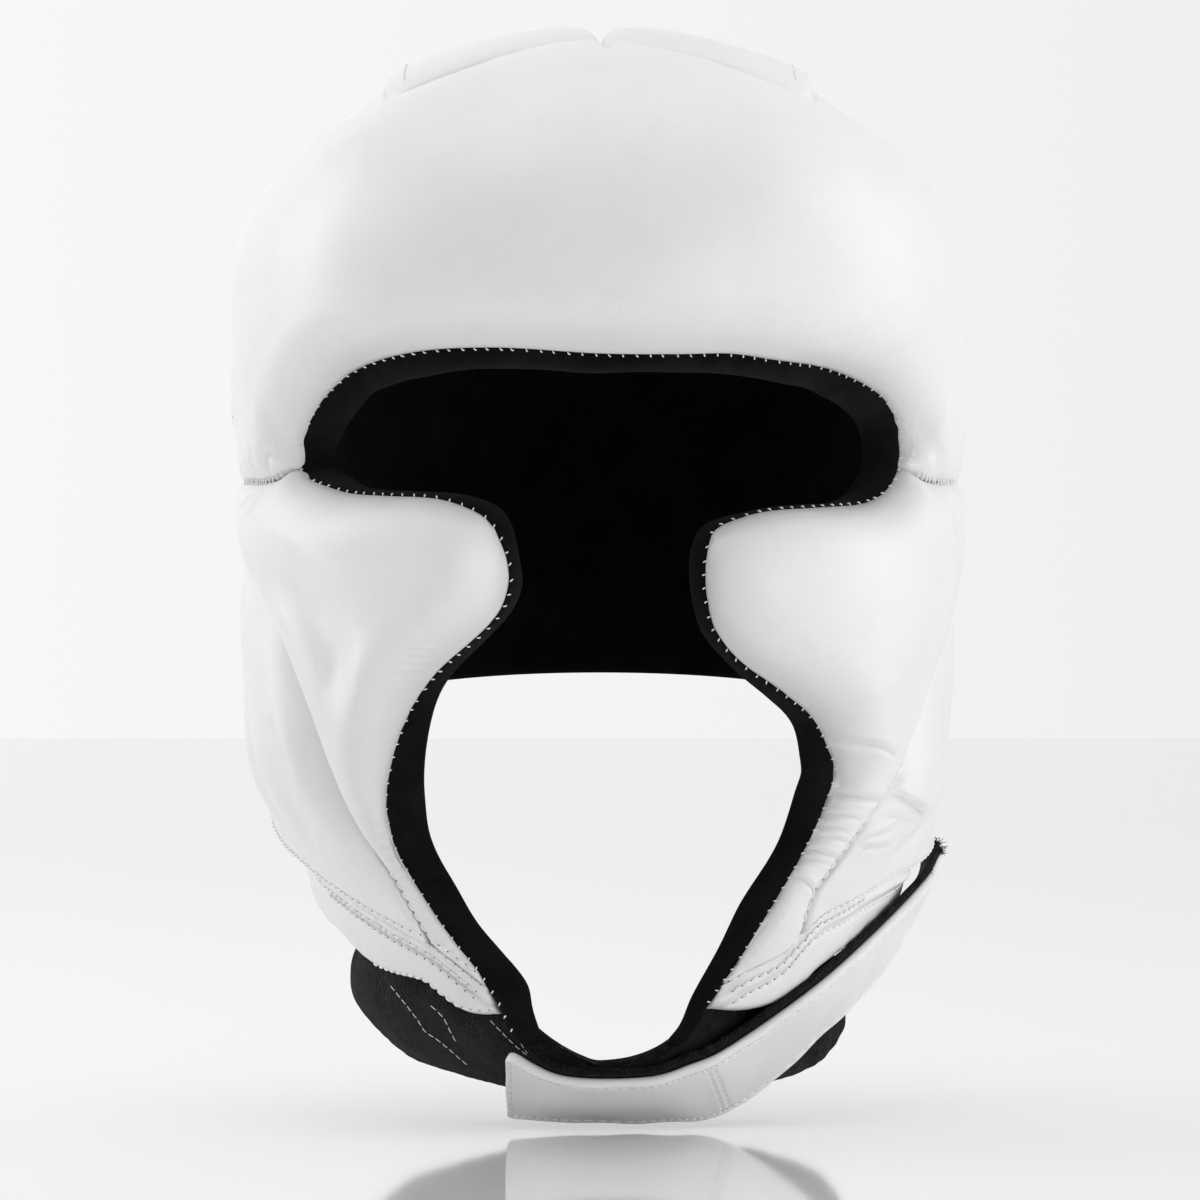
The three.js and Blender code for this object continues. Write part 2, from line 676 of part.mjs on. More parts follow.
// A flat strap between two long edges, its inner face lying depth behind the given one.
function strapSolid(stations, columns, surfaceDepth, thickness, frontReach) {
  const edge = (name) => new THREE.CatmullRomCurve3(
    stations.map((row) => new THREE.Vector3(row[`${name}X`], row[`${name}Y`], row[`${name}Z`])),
    false,
    'centripetal',
  );
  const front = edge('front');
  const rear = edge('rear');
  const corner = (t, side, depth) => {
    const a = front.getPoint(t);
    const b = rear.getPoint(t);
    const across = b.clone().sub(a).normalize();
    const along = front.getTangent(t);
    const outward = across.clone().cross(along).normalize();
    const start = side === 0 ? a.addScaledVector(across, -frontReach) : b;
    return start.addScaledVector(outward, -depth);
  };
  const surface = (depth) => (u, v) => corner(u, v, depth);
  return slab(columns, uniform(1), surface(surfaceDepth + thickness), surface(surfaceDepth));
}

function rearStrapSolid(columns, offset, thickness, margin) {
  const surface = (out) => (u, v) => {
    const turn = mix(REAR_STRAP.freeTurn, REAR_STRAP.sewnTurn - 360, u);
    const height = mix(REAR_STRAP.top - margin, REAR_STRAP.bottom + margin, v);
    return formPoint(turn, fallAt(height), out);
  };
  return slab(columns, uniform(1), surface(offset), surface(offset + thickness));
}

// ---------------------------------------------------------------- the headgear

const LEATHER = { color: 0xe9e7e1, roughness: 0.42 };
const SUEDE = { color: 0x1b1a1a, roughness: 0.95 };
const PILE = { color: 0x141414, roughness: 1 };
const HOOKS = { color: 0x101010, roughness: 0.8 };

const headgear = new THREE.Group();

function add(name, geometry, finish) {
  const material = new THREE.MeshStandardMaterial({ ...finish, metalness: 0 });
  const mesh = new THREE.Mesh(geometry, material);
  mesh.name = name;
  headgear.add(mesh);
}

function addForehead() {
  const forehead = foreheadRegion();
  const frontness = (turn) => Math.max(Math.cos(THREE.MathUtils.degToRad(turn)), 0) ** 2;
  const bulge = (place) => FOREHEAD.brow * frontness(place.turn) + strapDent(place);
  add('forehead_pad', padSolid(forehead, padOffset(FOREHEAD, bulge)), LEATHER);
  add('forehead_lining', liningSolid(forehead), SUEDE);
}

function addBack() {
  const back = backRegion();
  add('back_pad', padSolid(back, padOffset(BACK, strapDent)), LEATHER);
  add('back_lining', liningSolid(back), SUEDE);
}

function addSide(side) {
  const panelSpec = { full: side.panel.full, edges: { ...SIDE.edges, bottom: side.panel.bottom } };
  const flapSpec = { ...FLAP, edges: { ...FLAP.edges, ...side.flap } };
  const swell = ({ turn }) => side.flapSwell * smoothstep(Math.abs(turn), 54, 84);
  const cheek = cheekRegion(side);
  const panel = sideRegion(side);
  const crown = crownRegion(side);
  add(`cheek_pad_${side.name}`, padSolid(cheek, padOffset(CHEEK)), LEATHER);
  add(`cheek_lining_${side.name}`, liningSolid(cheek), SUEDE);
  add(`side_panel_${side.name}`, padSolid(panel, padOffset(panelSpec)), LEATHER);
  add(`side_lining_${side.name}`, liningSolid(panel), SUEDE);
  add(`jaw_flap_${side.name}`, padSolid(flapRegion(side), padOffset(flapSpec, swell)), LEATHER);
  add(`crown_pad_${side.name}`, padSolid(crown, padOffset(CROWN, crownSink)), LEATHER);
  add(`crown_lining_${side.name}`, liningSolid(crown), SUEDE);
}

// One roll all round the face opening, from one jaw tip over the brow to the other.
function addFaceRoll() {
  const down = (side) => [BROW, EYE_SLOT, side.freeEdge].map((table) => mirrored(side.sign, table));
  const up = reversed(down(RIGHT)).map(reversed);
  add('face_roll', rollSolid(outline(...up, ...down(LEFT))), SUEDE);
}

function addStraps() {
  add('chin_sling', slingSolid(), PILE);
  const chinColumns = uniform(32);
  const chinHooks = chinColumns.filter((u) => u > CHIN_HOOK_START);
  add('chin_strap', strapSolid(CHIN_STRAP, chinColumns, 0, STRAP, 0), LEATHER);
  add('chin_strap_hook', strapSolid(CHIN_STRAP, chinHooks, STRAP + 0.3, HOOK, CHIN_HOOK_REACH), HOOKS);
  const rearColumns = uniform(36);
  const rearHooks = rearColumns.filter((u) => u <= REAR_STRAP.hookEnd);
  add('rear_strap', rearStrapSolid(rearColumns, REAR_STRAP.offset, STRAP, 0), LEATHER);
  const hookOffset = REAR_STRAP.offset - HOOK - 0.3;
  add('rear_strap_hook', rearStrapSolid(rearHooks, hookOffset, HOOK, 1.5), HOOKS);
}

addForehead();
addBack();
[RIGHT, LEFT].forEach(addSide);
addFaceRoll();
addStraps();

export default headgear;
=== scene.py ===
"""Martial arts headgear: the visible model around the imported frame.

The pads, the linings, the face roll and the rear strap are laid out on one head form, in turns
from the front and falls from the top of the head. The sling and the chin strap have tables of
their own. Everything is built in millimetres and scaled to metres as its mesh is made.
Left and right are the wearer's: +X is left. The face looks along -Y.
"""
import math
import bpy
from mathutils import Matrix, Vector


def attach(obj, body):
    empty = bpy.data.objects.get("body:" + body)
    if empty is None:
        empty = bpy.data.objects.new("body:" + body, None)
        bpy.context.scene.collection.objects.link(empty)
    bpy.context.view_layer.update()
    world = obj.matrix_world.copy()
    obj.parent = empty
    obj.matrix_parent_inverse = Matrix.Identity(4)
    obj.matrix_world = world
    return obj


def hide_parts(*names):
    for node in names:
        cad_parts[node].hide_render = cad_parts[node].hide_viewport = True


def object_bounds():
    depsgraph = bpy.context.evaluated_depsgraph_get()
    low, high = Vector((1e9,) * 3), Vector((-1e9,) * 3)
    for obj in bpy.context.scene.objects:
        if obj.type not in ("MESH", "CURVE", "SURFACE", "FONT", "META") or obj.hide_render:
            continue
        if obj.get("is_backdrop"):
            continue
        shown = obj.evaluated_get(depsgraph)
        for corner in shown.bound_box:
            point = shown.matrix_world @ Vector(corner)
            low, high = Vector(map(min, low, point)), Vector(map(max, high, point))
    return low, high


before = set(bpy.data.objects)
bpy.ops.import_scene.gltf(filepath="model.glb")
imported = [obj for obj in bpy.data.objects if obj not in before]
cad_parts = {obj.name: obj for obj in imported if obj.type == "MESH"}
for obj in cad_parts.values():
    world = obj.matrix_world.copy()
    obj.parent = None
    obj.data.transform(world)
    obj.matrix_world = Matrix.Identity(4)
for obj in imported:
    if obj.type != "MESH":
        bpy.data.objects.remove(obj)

from types import SimpleNamespace

import bpy
import numpy as np
from mathutils import Vector
from mathutils.bvhtree import BVHTree

CAD_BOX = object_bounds()
MM = 0.001

# ---- the head form

WIDEST = -60.0  # height of the widest level, at fall 1
DOME_RISE = 60.0
DOME_TOP_SHARE = 0.64  # how much of an offset counts at the very top
DOME_FULLNESS = 1.12
PLAN_POWER = 2.25  # 2 is an ellipse; more is squarer
FALL_STEP = 100.0  # millimetres down for each fall beyond 1
TURN_LENGTH = 1.75  # millimetres to a degree, about
PAD_INNER = 3.4
LINING = 2.4
MEASURED_AT = 11  # offset of the surface on which distances over the pads are measured

# height, side, front, back: half-widths inside the lining
LEVELS = np.array([
    (-60, 80, 96, 96),
    (-90, 80, 97.5, 95),
    (-115, 79.5, 97, 90),
    (-150, 78, 95.5, 82),
    (-185, 75.5, 94, 74),
    (-211, 72, 92.5, 68),
    (-235, 66, 90.5, 62),
    (-262, 52, 87, 56),
], float)


def through(at, values, position):
    """A smooth curve through values at the places at, read at position."""
    at = np.asarray(at, float)
    values = np.asarray(values, float)
    position = np.clip(np.asarray(position, float), at[0], at[-1])
    slopes = np.empty_like(values)
    last = len(at) - 1
    for k in range(len(at)):
        low, high = max(k - 1, 0), min(k + 1, last)
        slopes[k] = (values[high] - values[low]) / (at[high] - at[low])
    i = np.clip(np.searchsorted(at, position, side="right") - 1, 0, last - 1)
    span = at[i + 1] - at[i]
    t = (position - at[i]) / span
    return (
        values[i] * (1 + 2 * t) * (1 - t) ** 2
        + values[i + 1] * t * t * (3 - 2 * t)
        + slopes[i] * span * t * (1 - t) ** 2
        - slopes[i + 1] * span * t * t * (1 - t)
    )


def fall_at(height):
    """The fall of a height: 0 at the top of the head, 1 where the head is widest."""
    height = np.asarray(height, float)
    dome = np.arccos(np.clip((height - WIDEST) / DOME_RISE, -1, 1)) / (math.pi / 2)
    return np.where(height <= WIDEST, 1 + (WIDEST - height) / FALL_STEP, dome)


def form(turn, fall, offset):
    """Points of the head form, in millimetres, out from the lining's inner face by offset."""
    turn, fall, offset = np.broadcast_arrays(*(np.asarray(a, float) for a in (turn, fall, offset)))
    angle = np.radians(turn)
    dome = np.minimum(fall, 1) * math.pi / 2
    rise = DOME_RISE + DOME_TOP_SHARE * offset
    height = np.where(fall <= 1, WIDEST + rise * np.cos(dome), WIDEST - FALL_STEP * (fall - 1))
    shrink = np.sin(dome) ** DOME_FULLNESS
    level = -np.minimum(height, WIDEST)
    side, front, back = (through(-LEVELS[:, 0], LEVELS[:, k], level) for k in (1, 2, 3))
    depth = np.where(np.cos(angle) > 0, front, back)
    across = np.abs(np.sin(angle)) / np.maximum((side + offset) * shrink, 1e-6)
    along = np.abs(np.cos(angle)) / np.maximum((depth + offset) * shrink, 1e-6)
    radius = (across ** PLAN_POWER + along ** PLAN_POWER) ** (-1 / PLAN_POWER)
    return np.stack([radius * np.sin(angle), -radius * np.cos(angle), height], axis=-1)


# ---- outlines
# Rows are (turn, height) on the lining, or (turn, height, reach of the lining roll).

CROWN_SEAM = [(0, -6), (22, -9), (43, -17), (70, -26), (95, -33), (118, -36)]
CROWN_BACK_HEIGHT = -36
TEMPLE_SEAM = [(54, -110), (60, -113), (72, -113), (84, -112)]
EAR_TOP = [(84, -112), (92, -106), (101, -103), (110, -106), (118, -112)]
EAR_BOTTOM = [(84, -112), (92, -127), (101, -134), (110, -128), (118, -113)]
NAPE = [(118, -174), (148, -168), (180, -166)]


# What differs from side to side of the head.
RIGHT = SimpleNamespace(
    sign=-1, name="right",
    brow=[
        (0, -81.5, 4.4), (15, -79.8, 5), (28, -80.6, 5.6), (40, -84.8, 5.6), (46.5, -91, 5),
        (50.5, -97, 3.5), (53.5, -103.5, 2), (54, -110, 1.5),
    ],
    eye_slot=[
        (54, -110, 1.5), (51.5, -112.8, 2), (47, -114.8, 2), (41.5, -116.8, 1.4),
        (33, -117.7, 1.2), (25, -118.4, 1.2), (21, -120, 2), (17.2, -123, 3), (15, -127, 2.6),
    ],
    free_edge=[
        (15, -127, 2.6), (13.3, -134.5, 1.5), (13, -141, 1.4), (14.4, -148, 0.6),
        (17.5, -154, 0.3), (25, -164.5, 1), (30, -174.5, 3.2), (34, -187.5, 7), (35.8, -199, 9.6),
        (34.5, -209.5, 9), (31, -218.3, 7.8), (24.1, -233.2, 7), (19.6, -241.8, 7.4),
        (16.4, -250, 8.5), (14.5, -257, 7), (11.5, -262, 3.5),
    ],
    crease=[
        (84, -112), (82, -123), (71, -136), (60, -145), (53.7, -155.6), (48, -172.7),
        (44, -189.7), (39.6, -205.3), (33.7, -218.2), (29, -229.8), (26.8, -234.9),
    ],
    hem=[
        (118, -176), (106, -191), (95, -203), (80, -211.5), (54, -220.5), (43, -225.8),
        (35, -230.3), (27.7, -234.9), (22.5, -240.5), (17.8, -246.5),
    ],
    flap_edge=[
        (118, -190), (106, -206), (95, -218.5), (80, -228.5), (66, -233.2), (59.5, -235),
        (50.3, -240.8), (44, -243.3), (38.9, -244.4), (31.1, -245.8), (27.7, -249.2),
        (24.2, -252.4), (20.4, -253.4), (16.5, -253),
    ],
)
LEFT = SimpleNamespace(
    sign=1, name="left",
    brow=[
        (0, -81.5, 4.4), (11, -81.6, 4.2), (19, -81.3, 4.8), (25.5, -82.6, 4.4), (35, -84.2, 5.4),
        (41.5, -86.7, 5.8), (47, -90, 5.5), (51, -94, 5), (53.8, -99.5, 4.5), (54.7, -105, 4.5),
        (54, -110, 4),
    ],
    eye_slot=[
        (54, -110, 4), (52, -114, 3), (48, -117.8, 2), (44, -119.6, 1), (39.5, -120.2, 0.6),
        (33, -120.8, 0.5), (25, -121.8, 0.5), (19.6, -124.2, 0.6), (16.6, -127, 1.6),
        (15.6, -132, 2.4),
    ],
    free_edge=[
        (15.6, -132, 2.4), (15.2, -138, 2.2), (15.5, -145, 1.8), (16.8, -153, 1.2),
        (20.7, -161, 0.4), (28.7, -169.5, 1.6), (34.5, -176, 2.2), (38, -183, 5),
        (40.3, -190, 7.2), (38.5, -199, 7), (34, -211.5, 5.2), (27, -228, 6), (22, -240.5, 4.6),
        (17.4, -250.5, 3), (15, -257.5, 2), (12, -262, 1.5),
    ],
    crease=[
        (84, -112), (84, -124), (77, -140), (67, -155.7), (60.3, -166.3), (56, -181),
        (49.6, -196.6), (45.2, -203.3), (38.6, -215.4), (35, -222.8), (33, -232.8),
    ],
    hem=[
        (118, -178), (106, -196), (95, -208), (78, -216), (57, -221), (45, -225), (37.5, -228.3),
        (33.5, -233), (30, -238), (23.7, -242.2), (19.3, -246),
    ],
    flap_edge=[
        (118, -192), (106, -209), (95, -218), (80, -228), (68, -234.5), (51, -239.5),
        (42, -244.4), (39, -248.6), (33, -251.5), (25, -252.7), (17.6, -251.7),
    ],
)


class Outline:
    """A curve through one or more tables, smooth within each, read from 0 to 1 by length."""

    def __init__(self, *tables):
        self.runs = []
        self.total = 0.0
        for table in tables:
            rows = np.array([(*row, 0)[:3] for row in table], float)
            steps = np.hypot(np.diff(rows[:, 0]) * TURN_LENGTH, np.diff(rows[:, 1]))
            self.runs.append((self.total, np.concatenate([[0], np.cumsum(steps)]), rows))
            self.total += steps.sum()

    def __call__(self, t):
        """Turn, fall and reach at t."""
        position = np.asarray(t, float) * self.total
        turn, height, reach = (np.zeros(position.shape) for _ in range(3))
        for start, lengths, rows in self.runs:
            inside = position >= start - 1e-9
            for column, target in enumerate((turn, height, reach)):
                values = through(lengths, rows[:, column], position - start)
                target[inside] = values[inside]
        return turn, fall_at(height), reach


def backwards(table):
    return list(reversed(table))


def turned(sign, table):
    return [(sign * row[0], *row[1:]) for row in table]


def across(right, left):
    """One table from the right-hand end of one to the left-hand end of the other."""
    return [*turned(-1, backwards(right)), *left[1:]]


def mix(a, b, t):
    return a + (b - a) * t


def smooth(x, low, high):
    t = np.clip((np.asarray(x, float) - low) / (high - low), 0, 1)
    return t * t * (3 - 2 * t)


def bell(away, width):
    """1 in the middle, falling to nothing on both sides."""
    return np.exp(-((away / width) ** 2))


def laid(side, *tables):
    """The outline that tables make on one side of the head."""
    return Outline(*(turned(side.sign, table) for table in tables))


def patch(top, bottom, front, back, fade=1):
    """A Coons patch: top and bottom run with u, front and back with v.

    With fade, the top's shape is lost sooner on the way down.
    """
    def place(u, v):
        down = 1 - (1 - v) ** fade
        result = []
        for k in (0, 1):
            t, b, f, r = top(u)[k], bottom(u)[k], front(v)[k], back(v)[k]
            corners = [edge(np.array([end]))[k] for edge in (top, bottom) for end in (0.0, 1.0)]
            upper = mix(corners[0], corners[1], u)
            lower = mix(corners[2], corners[3], u)
            result.append(mix(t, b, down) + mix(f, r, u) - mix(upper, lower, down))
        return result
    return place


def forehead_region():
    ends = [Outline(turned(sign, [CROWN_SEAM[-1], EAR_TOP[-1]])) for sign in (-1, 1)]
    right = [turned(-1, backwards(table)) for table in (EAR_TOP, TEMPLE_SEAM)]
    bottom = Outline(*right, across(RIGHT.brow, LEFT.brow), TEMPLE_SEAM, EAR_TOP)
    seam = Outline(across(CROWN_SEAM, CROWN_SEAM))
    return patch(lambda u: seam(u - 0.09 * np.sin(2 * math.pi * u)), bottom, *ends)


def cheek_region(side):
    edge = side.free_edge[:-3]
    last = side.crease[-1][0]
    tip = [(turn + 0.5, height + 0.9) for turn, height in side.hem if turn < last - 2]
    back = [*side.crease, *tip]
    top = laid(side, backwards(side.eye_slot), TEMPLE_SEAM)
    bottom = laid(side, [edge[-1][:2], back[-1]])
    return patch(top, bottom, laid(side, edge), laid(side, back), fade=3)


def side_region(side):
    turn, height = side.crease[-1]
    corner = (turn + 0.9, height - 0.2)
    bottom = laid(side, [corner, *(row for row in backwards(side.hem) if row[0] > turn + 3)])
    front = laid(side, [*side.crease[:-1], corner])
    return patch(laid(side, EAR_BOTTOM), bottom, front, laid(side, [EAR_BOTTOM[-1], side.hem[0]]))


def flap_region(side):
    hem = backwards(side.hem)
    bottom = backwards(side.flap_edge)
    front, back = (laid(side, [hem[end], bottom[end]]) for end in (0, -1))
    return patch(laid(side, hem), laid(side, bottom), front, back)


def crown_region(side):
    behind = [(turn, CROWN_BACK_HEIGHT) for turn in (150, 180)]
    seam = laid(side, [*CROWN_SEAM, *behind])

    def disc(t):
        turn, fall, _ = seam(t)
        angle = np.radians(turn)
        return fall * np.sin(angle), -fall * np.cos(angle)

    front_end = disc(np.array([0.0]))[1]
    back_end = disc(np.array([1.0]))[1]

    def place(u, v):
        x, y = disc(mix(0.045, 0.955, u))
        x = mix(0, x, v)
        y = mix(mix(front_end, back_end, u), y, v)
        return np.degrees(np.arctan2(x, -y)), np.hypot(x, y)
    return place


def back_region():
    def around(table):
        return table + [(360 - row[0], row[1]) for row in backwards(table)[1:]]
    top = around([(turn, CROWN_BACK_HEIGHT) for turn in (118, 150, 180)])
    bottom = around(NAPE)
    front, back = (Outline([top[end], bottom[end]]) for end in (0, -1))
    return patch(Outline(top), Outline(bottom), front, back)


# ---- meshes

def linked(name, data):
    obj = bpy.data.objects.new(name, data)
    bpy.context.scene.collection.objects.link(obj)
    return obj


def new_object(name, points, faces, made_of):
    """A smooth-shaded mesh from points in millimetres."""
    mesh = bpy.data.meshes.new(name)
    mesh.from_pydata((np.asarray(points) * MM).tolist(), [], faces)
    mesh.validate()
    mesh.polygons.foreach_set("use_smooth", [True] * len(mesh.polygons))
    mesh.materials.append(made_of)
    mesh.update()
    return linked(name, mesh)


def closed_slab(outer, inner):
    """Points and faces of two matching grids joined round their rim, facing out."""
    high, wide = outer.shape[:2]
    points = np.concatenate([outer.reshape(-1, 3), inner.reshape(-1, 3)])
    start = wide * high
    grid = np.arange(start).reshape(high, wide)
    corners = (grid[:-1, :-1], grid[:-1, 1:], grid[1:, 1:], grid[1:, :-1])
    quads = np.stack([corner.ravel() for corner in corners], axis=1)
    rim = np.concatenate([grid[0], grid[1:, -1], grid[-1, -2::-1], grid[-2:0:-1, 0]])
    after = np.roll(rim, -1)
    walls = np.stack([rim, rim + start, after + start, after], axis=1)
    faces = np.concatenate([quads, start + quads[:, ::-1], walls])
    a, b, c, d = (points[faces[:, k]] for k in range(4))
    volumes = sum(np.einsum("ij,ij->i", a, np.cross(*pair)) for pair in ((b, c), (c, d)))
    if volumes.sum() < 0:
        faces = faces[:, ::-1]
    return points, faces.tolist()


def grid_lines(length, coarse, fine, band):
    """Places from 0 to 1 along a length, closer together within a band of each end."""
    places = np.linspace(0, 1, 2001)
    away = np.minimum(places, 1 - places) * length
    density = 1 / coarse + (1 / fine - 1 / coarse) * bell(away, band)
    steps = np.concatenate([[0], np.cumsum((density[1:] + density[:-1]) / 2)]) * length / 2000
    count = max(int(math.ceil(steps[-1])), 4)
    return np.interp(np.linspace(0, steps[-1], count + 1), steps, places)


CHUNK = 4000  # points measured at a time


def run_length(points):
    return np.concatenate([[0], np.cumsum(np.linalg.norm(np.diff(points, axis=0), axis=1))])


def unit(vectors):
    return vectors / np.linalg.norm(vectors, axis=-1, keepdims=True)


def in_chunks(points, measure):
    """Measures points a few at a time, to spare memory. A measure returns several arrays."""
    flat = points.reshape(-1, 1, 3)
    parts = [measure(flat[start:start + CHUNK]) for start in range(0, len(flat), CHUNK)]
    return [np.concatenate(values).reshape(points.shape[:-1]) for values in zip(*parts)]


def nearest_on(points, line):
    """Distance from each point to a polyline's points, and how far along it the nearest is."""
    along = run_length(line)

    def measure(chunk):
        gaps = np.linalg.norm(chunk - line, axis=2)
        best = gaps.argmin(axis=1)
        return gaps[np.arange(len(chunk)), best], along[best]
    return in_chunks(points, measure)


def smooth_distance(points, line):
    """Distance from each point to a polyline, without a ridge where the line turns a corner."""
    middles = (line[1:] + line[:-1]) / 2
    steps = np.linalg.norm(np.diff(line, axis=0), axis=1)

    def measure(chunk):
        gaps = ((chunk - middles) ** 2).sum(axis=2)
        return [(steps / np.maximum(gaps, 0.3) ** 2).sum(axis=1)]
    pull, = in_chunks(points, measure)
    return (2 / math.pi * pull) ** (-1 / 3)


def lumps(points, size, seed, waves=9):
    """A smooth uneven field of about -1 to 1, with lumps of about the given size."""
    random = np.random.default_rng(seed)
    total = np.zeros(points.shape[:-1])
    for _ in range(waves):
        direction = random.normal(size=3)
        direction *= 2 * math.pi / size * random.uniform(0.55, 1.3) / np.linalg.norm(direction)
        total += np.sin(points @ direction + random.uniform(0, 2 * math.pi))
    return total / math.sqrt(waves)


def ripples(along, pitch, seed):
    """Uneven gathers along a seam, about a pitch apart, from 0 to 1."""
    random = np.random.default_rng(seed)
    shift = sum(
        random.uniform(0.5, 1.0) * np.sin(along / pitch * rate + random.uniform(0, 6.3))
        for rate in (0.9, 1.7, 2.9)
    )
    weight = 0.6 + 0.4 * np.sin(along / pitch * 1.3 + random.uniform(0, 6.3))
    return weight * (0.5 + 0.5 * np.cos(2 * math.pi * along / pitch + shift))


EDGES = ("top", "bottom", "front", "back")


def at_crease(s):
    return 15 - 4 * smooth(s, 0.1, 0.35)


def at_cheek_back(s):
    return 19.5 - 8 * smooth(s, 0.3, 0.85)


def towards_rear(thin, thick, start=0.45, end=0.85):
    return lambda s: mix(thin, thick, smooth(s, start, end))


# Full thickness of each pad, and at each of its edges.
FOREHEAD = {"full": 21, "top": 13, "bottom": 20, "front": 15, "back": 15}
CROWN = {"full": 21, "top": 13.5, "bottom": 13, "front": 13, "back": 13}
BACK = {"full": 20.5, "top": 13, "bottom": 9, "front": 13, "back": 13}
CHEEK = {"full": 23.5, "top": 20, "bottom": 14, "front": 19, "back": at_cheek_back}
RIGHT.panel = {
    "full": 21, "top": 14, "bottom": towards_rear(12, 17, 0.35, 0.7), "front": at_crease,
    "back": 13,
}
LEFT.panel = {**RIGHT.panel, "full": 19.8, "bottom": towards_rear(12, 19.6, 0.3, 0.62)}
RIGHT.flap = {
    "full": 9, "top": towards_rear(11.5, 16.5, 0.45, 0.75), "bottom": towards_rear(5.5, 8.5),
    "front": 6, "back": 12,
}
LEFT.flap = {
    "full": 9, "top": towards_rear(11, 19.6, 0.4, 0.68), "bottom": towards_rear(5.8, 14, 0.35, 0.7),
    "front": 6, "back": 14,
}
RIGHT.flap_swell, LEFT.flap_swell = 0.8, 4.5
BROW_BULGE = 8.0
CROWN_LOBE = 51.0  # half-width of the crown's two middle lobes
CROWN_SINK = 5.0  # how much lower the crown is beyond them
FACE_LIP = 7.6


def lip(turn):
    """Offset of a pad's edge where it meets the suede round the face, and along the temple."""
    turn = np.abs(turn)
    face = FACE_LIP + 3 * smooth(turn, 38, 54)
    return face + 3 * smooth(turn, 55, 62) + 4.5 * smooth(turn, 64, 76) - 6 * smooth(turn, 84, 92)


def face_swell(pad):
    """How far in from the face opening a pad reaches its thickness; less along the temple."""
    return mix(14, 7, smooth(np.abs(pad.turn), 54, 64))


def rounding(s):
    return np.sqrt(np.maximum(1 - np.abs(2 * s - 1) ** 3.2, 0))


def pad_offset(spec, u, v, extra):
    """Thickness over a pad, blended from its edges' and its full one."""
    total = np.zeros_like(u)
    weights = np.zeros_like(u)
    places = ((v, u), (1 - v, u), (u, v), (1 - u, v))
    for edge, (away, along) in zip(EDGES, places):
        weight = 1 / (away + 0.03)
        size = spec[edge](along) if callable(spec[edge]) else spec[edge]
        total += size * weight
        weights += weight
    edge_offset = total / weights
    return edge_offset + (spec["full"] + extra - edge_offset) * rounding(u) * rounding(v)


# Heights of the rear strap's edges, offset of its inside, turns of its two ends, and the share
# of its length that has hooks.
REAR_STRAP = {"top": -69, "bottom": -97, "offset": 19, "free": -84, "sewn": -244, "hooks": 0.4}
STRAP = 2.6  # thickness of both straps
STRAP_DENT = 4.2
DENT_REACH = 22


def strap_dent(turn, fall):
    """The pads give way under the rear strap."""
    middle = (fall_at(REAR_STRAP["top"]) + fall_at(REAR_STRAP["bottom"])) / 2
    away = np.abs(fall - middle) * FALL_STEP / DENT_REACH
    ends = np.maximum(smooth(-turn, 74, 82), smooth(turn, 104, 114))
    return -STRAP_DENT * ends * (1 - smooth(away, 0.6, 1.3))


def spans(region, offset, count):
    """Lengths of a region's middle lines, along u and along v."""
    ends = np.linspace(0, 1, count)
    middle = np.full_like(ends, 0.5)
    lines = ((ends, middle), (middle, ends))
    return [run_length(form(*region(*line), offset))[-1] for line in lines]


class Pad:
    """The fine grid of one pad, with its distances to its edges."""

    def __init__(self, region, gap=0.15, coarse=1.5, fine=0.7, band=6):
        cut = [gap / span for span in spans(region, 0, 30)]
        self.region = lambda u, v: region(mix(cut[0], 1 - cut[0], u), mix(cut[1], 1 - cut[1], v))
        wide, high = spans(self.region, 12, 40)
        columns = grid_lines(wide, coarse, fine, band)
        rows = grid_lines(high, coarse, fine, band)
        self.u, self.v = np.meshgrid(columns, rows)
        self.turn, self.fall = self.region(self.u, self.v)
        self.base = form(self.turn, self.fall, MEASURED_AT)
        run = np.linspace(0, 1, 420)
        zero, one = np.zeros_like(run), np.ones_like(run)
        lines = ((run, zero), (run, one), (zero, run), (one, run))
        self.away, self.along, self.lines = {}, {}, {}
        for edge, (u, v) in zip(EDGES, lines):
            self.lines[edge] = form(*self.region(u, v), MEASURED_AT)
            self.away[edge], self.along[edge] = nearest_on(self.base, self.lines[edge])

    def nearest(self):
        return np.minimum.reduce([self.away[edge] for edge in EDGES])

    def surface(self, offset):
        return form(self.turn, self.fall, offset)


def swollen(pad, thick, distances):
    """A thickness that swells from a lip, over a distance in from each edge named."""
    pull = np.zeros_like(thick)
    for edge, distance in distances.items():
        near = pad.away[edge]
        away = mix(near, smooth_distance(pad.base, pad.lines[edge]), smooth(near, 1.5, 4))
        pull += (distance / np.maximum(away, 1e-3)) ** 4
    share = np.minimum(pull ** -0.25, 1)
    low = lip(pad.turn)
    return low + (thick - low) * np.sqrt(1 - (1 - share) ** 2)


def rolled(away, radius):
    """How far a surface has dropped at a distance from an edge that it rolls over."""
    short = np.clip(radius - away, 0, radius)
    return radius - np.sqrt(radius * radius - short * short)


# ---- materials

def material(name, color, roughness, **sockets):
    made = bpy.data.materials.new(name)
    made.use_nodes = True
    shader = made.node_tree.nodes["Principled BSDF"]
    shader.inputs["Base Color"].default_value = (*color, 1)
    shader.inputs["Roughness"].default_value = roughness
    for socket, value in sockets.items():
        shader.inputs[socket].default_value = value
    return made


def grey(level):
    return (level, level, level)


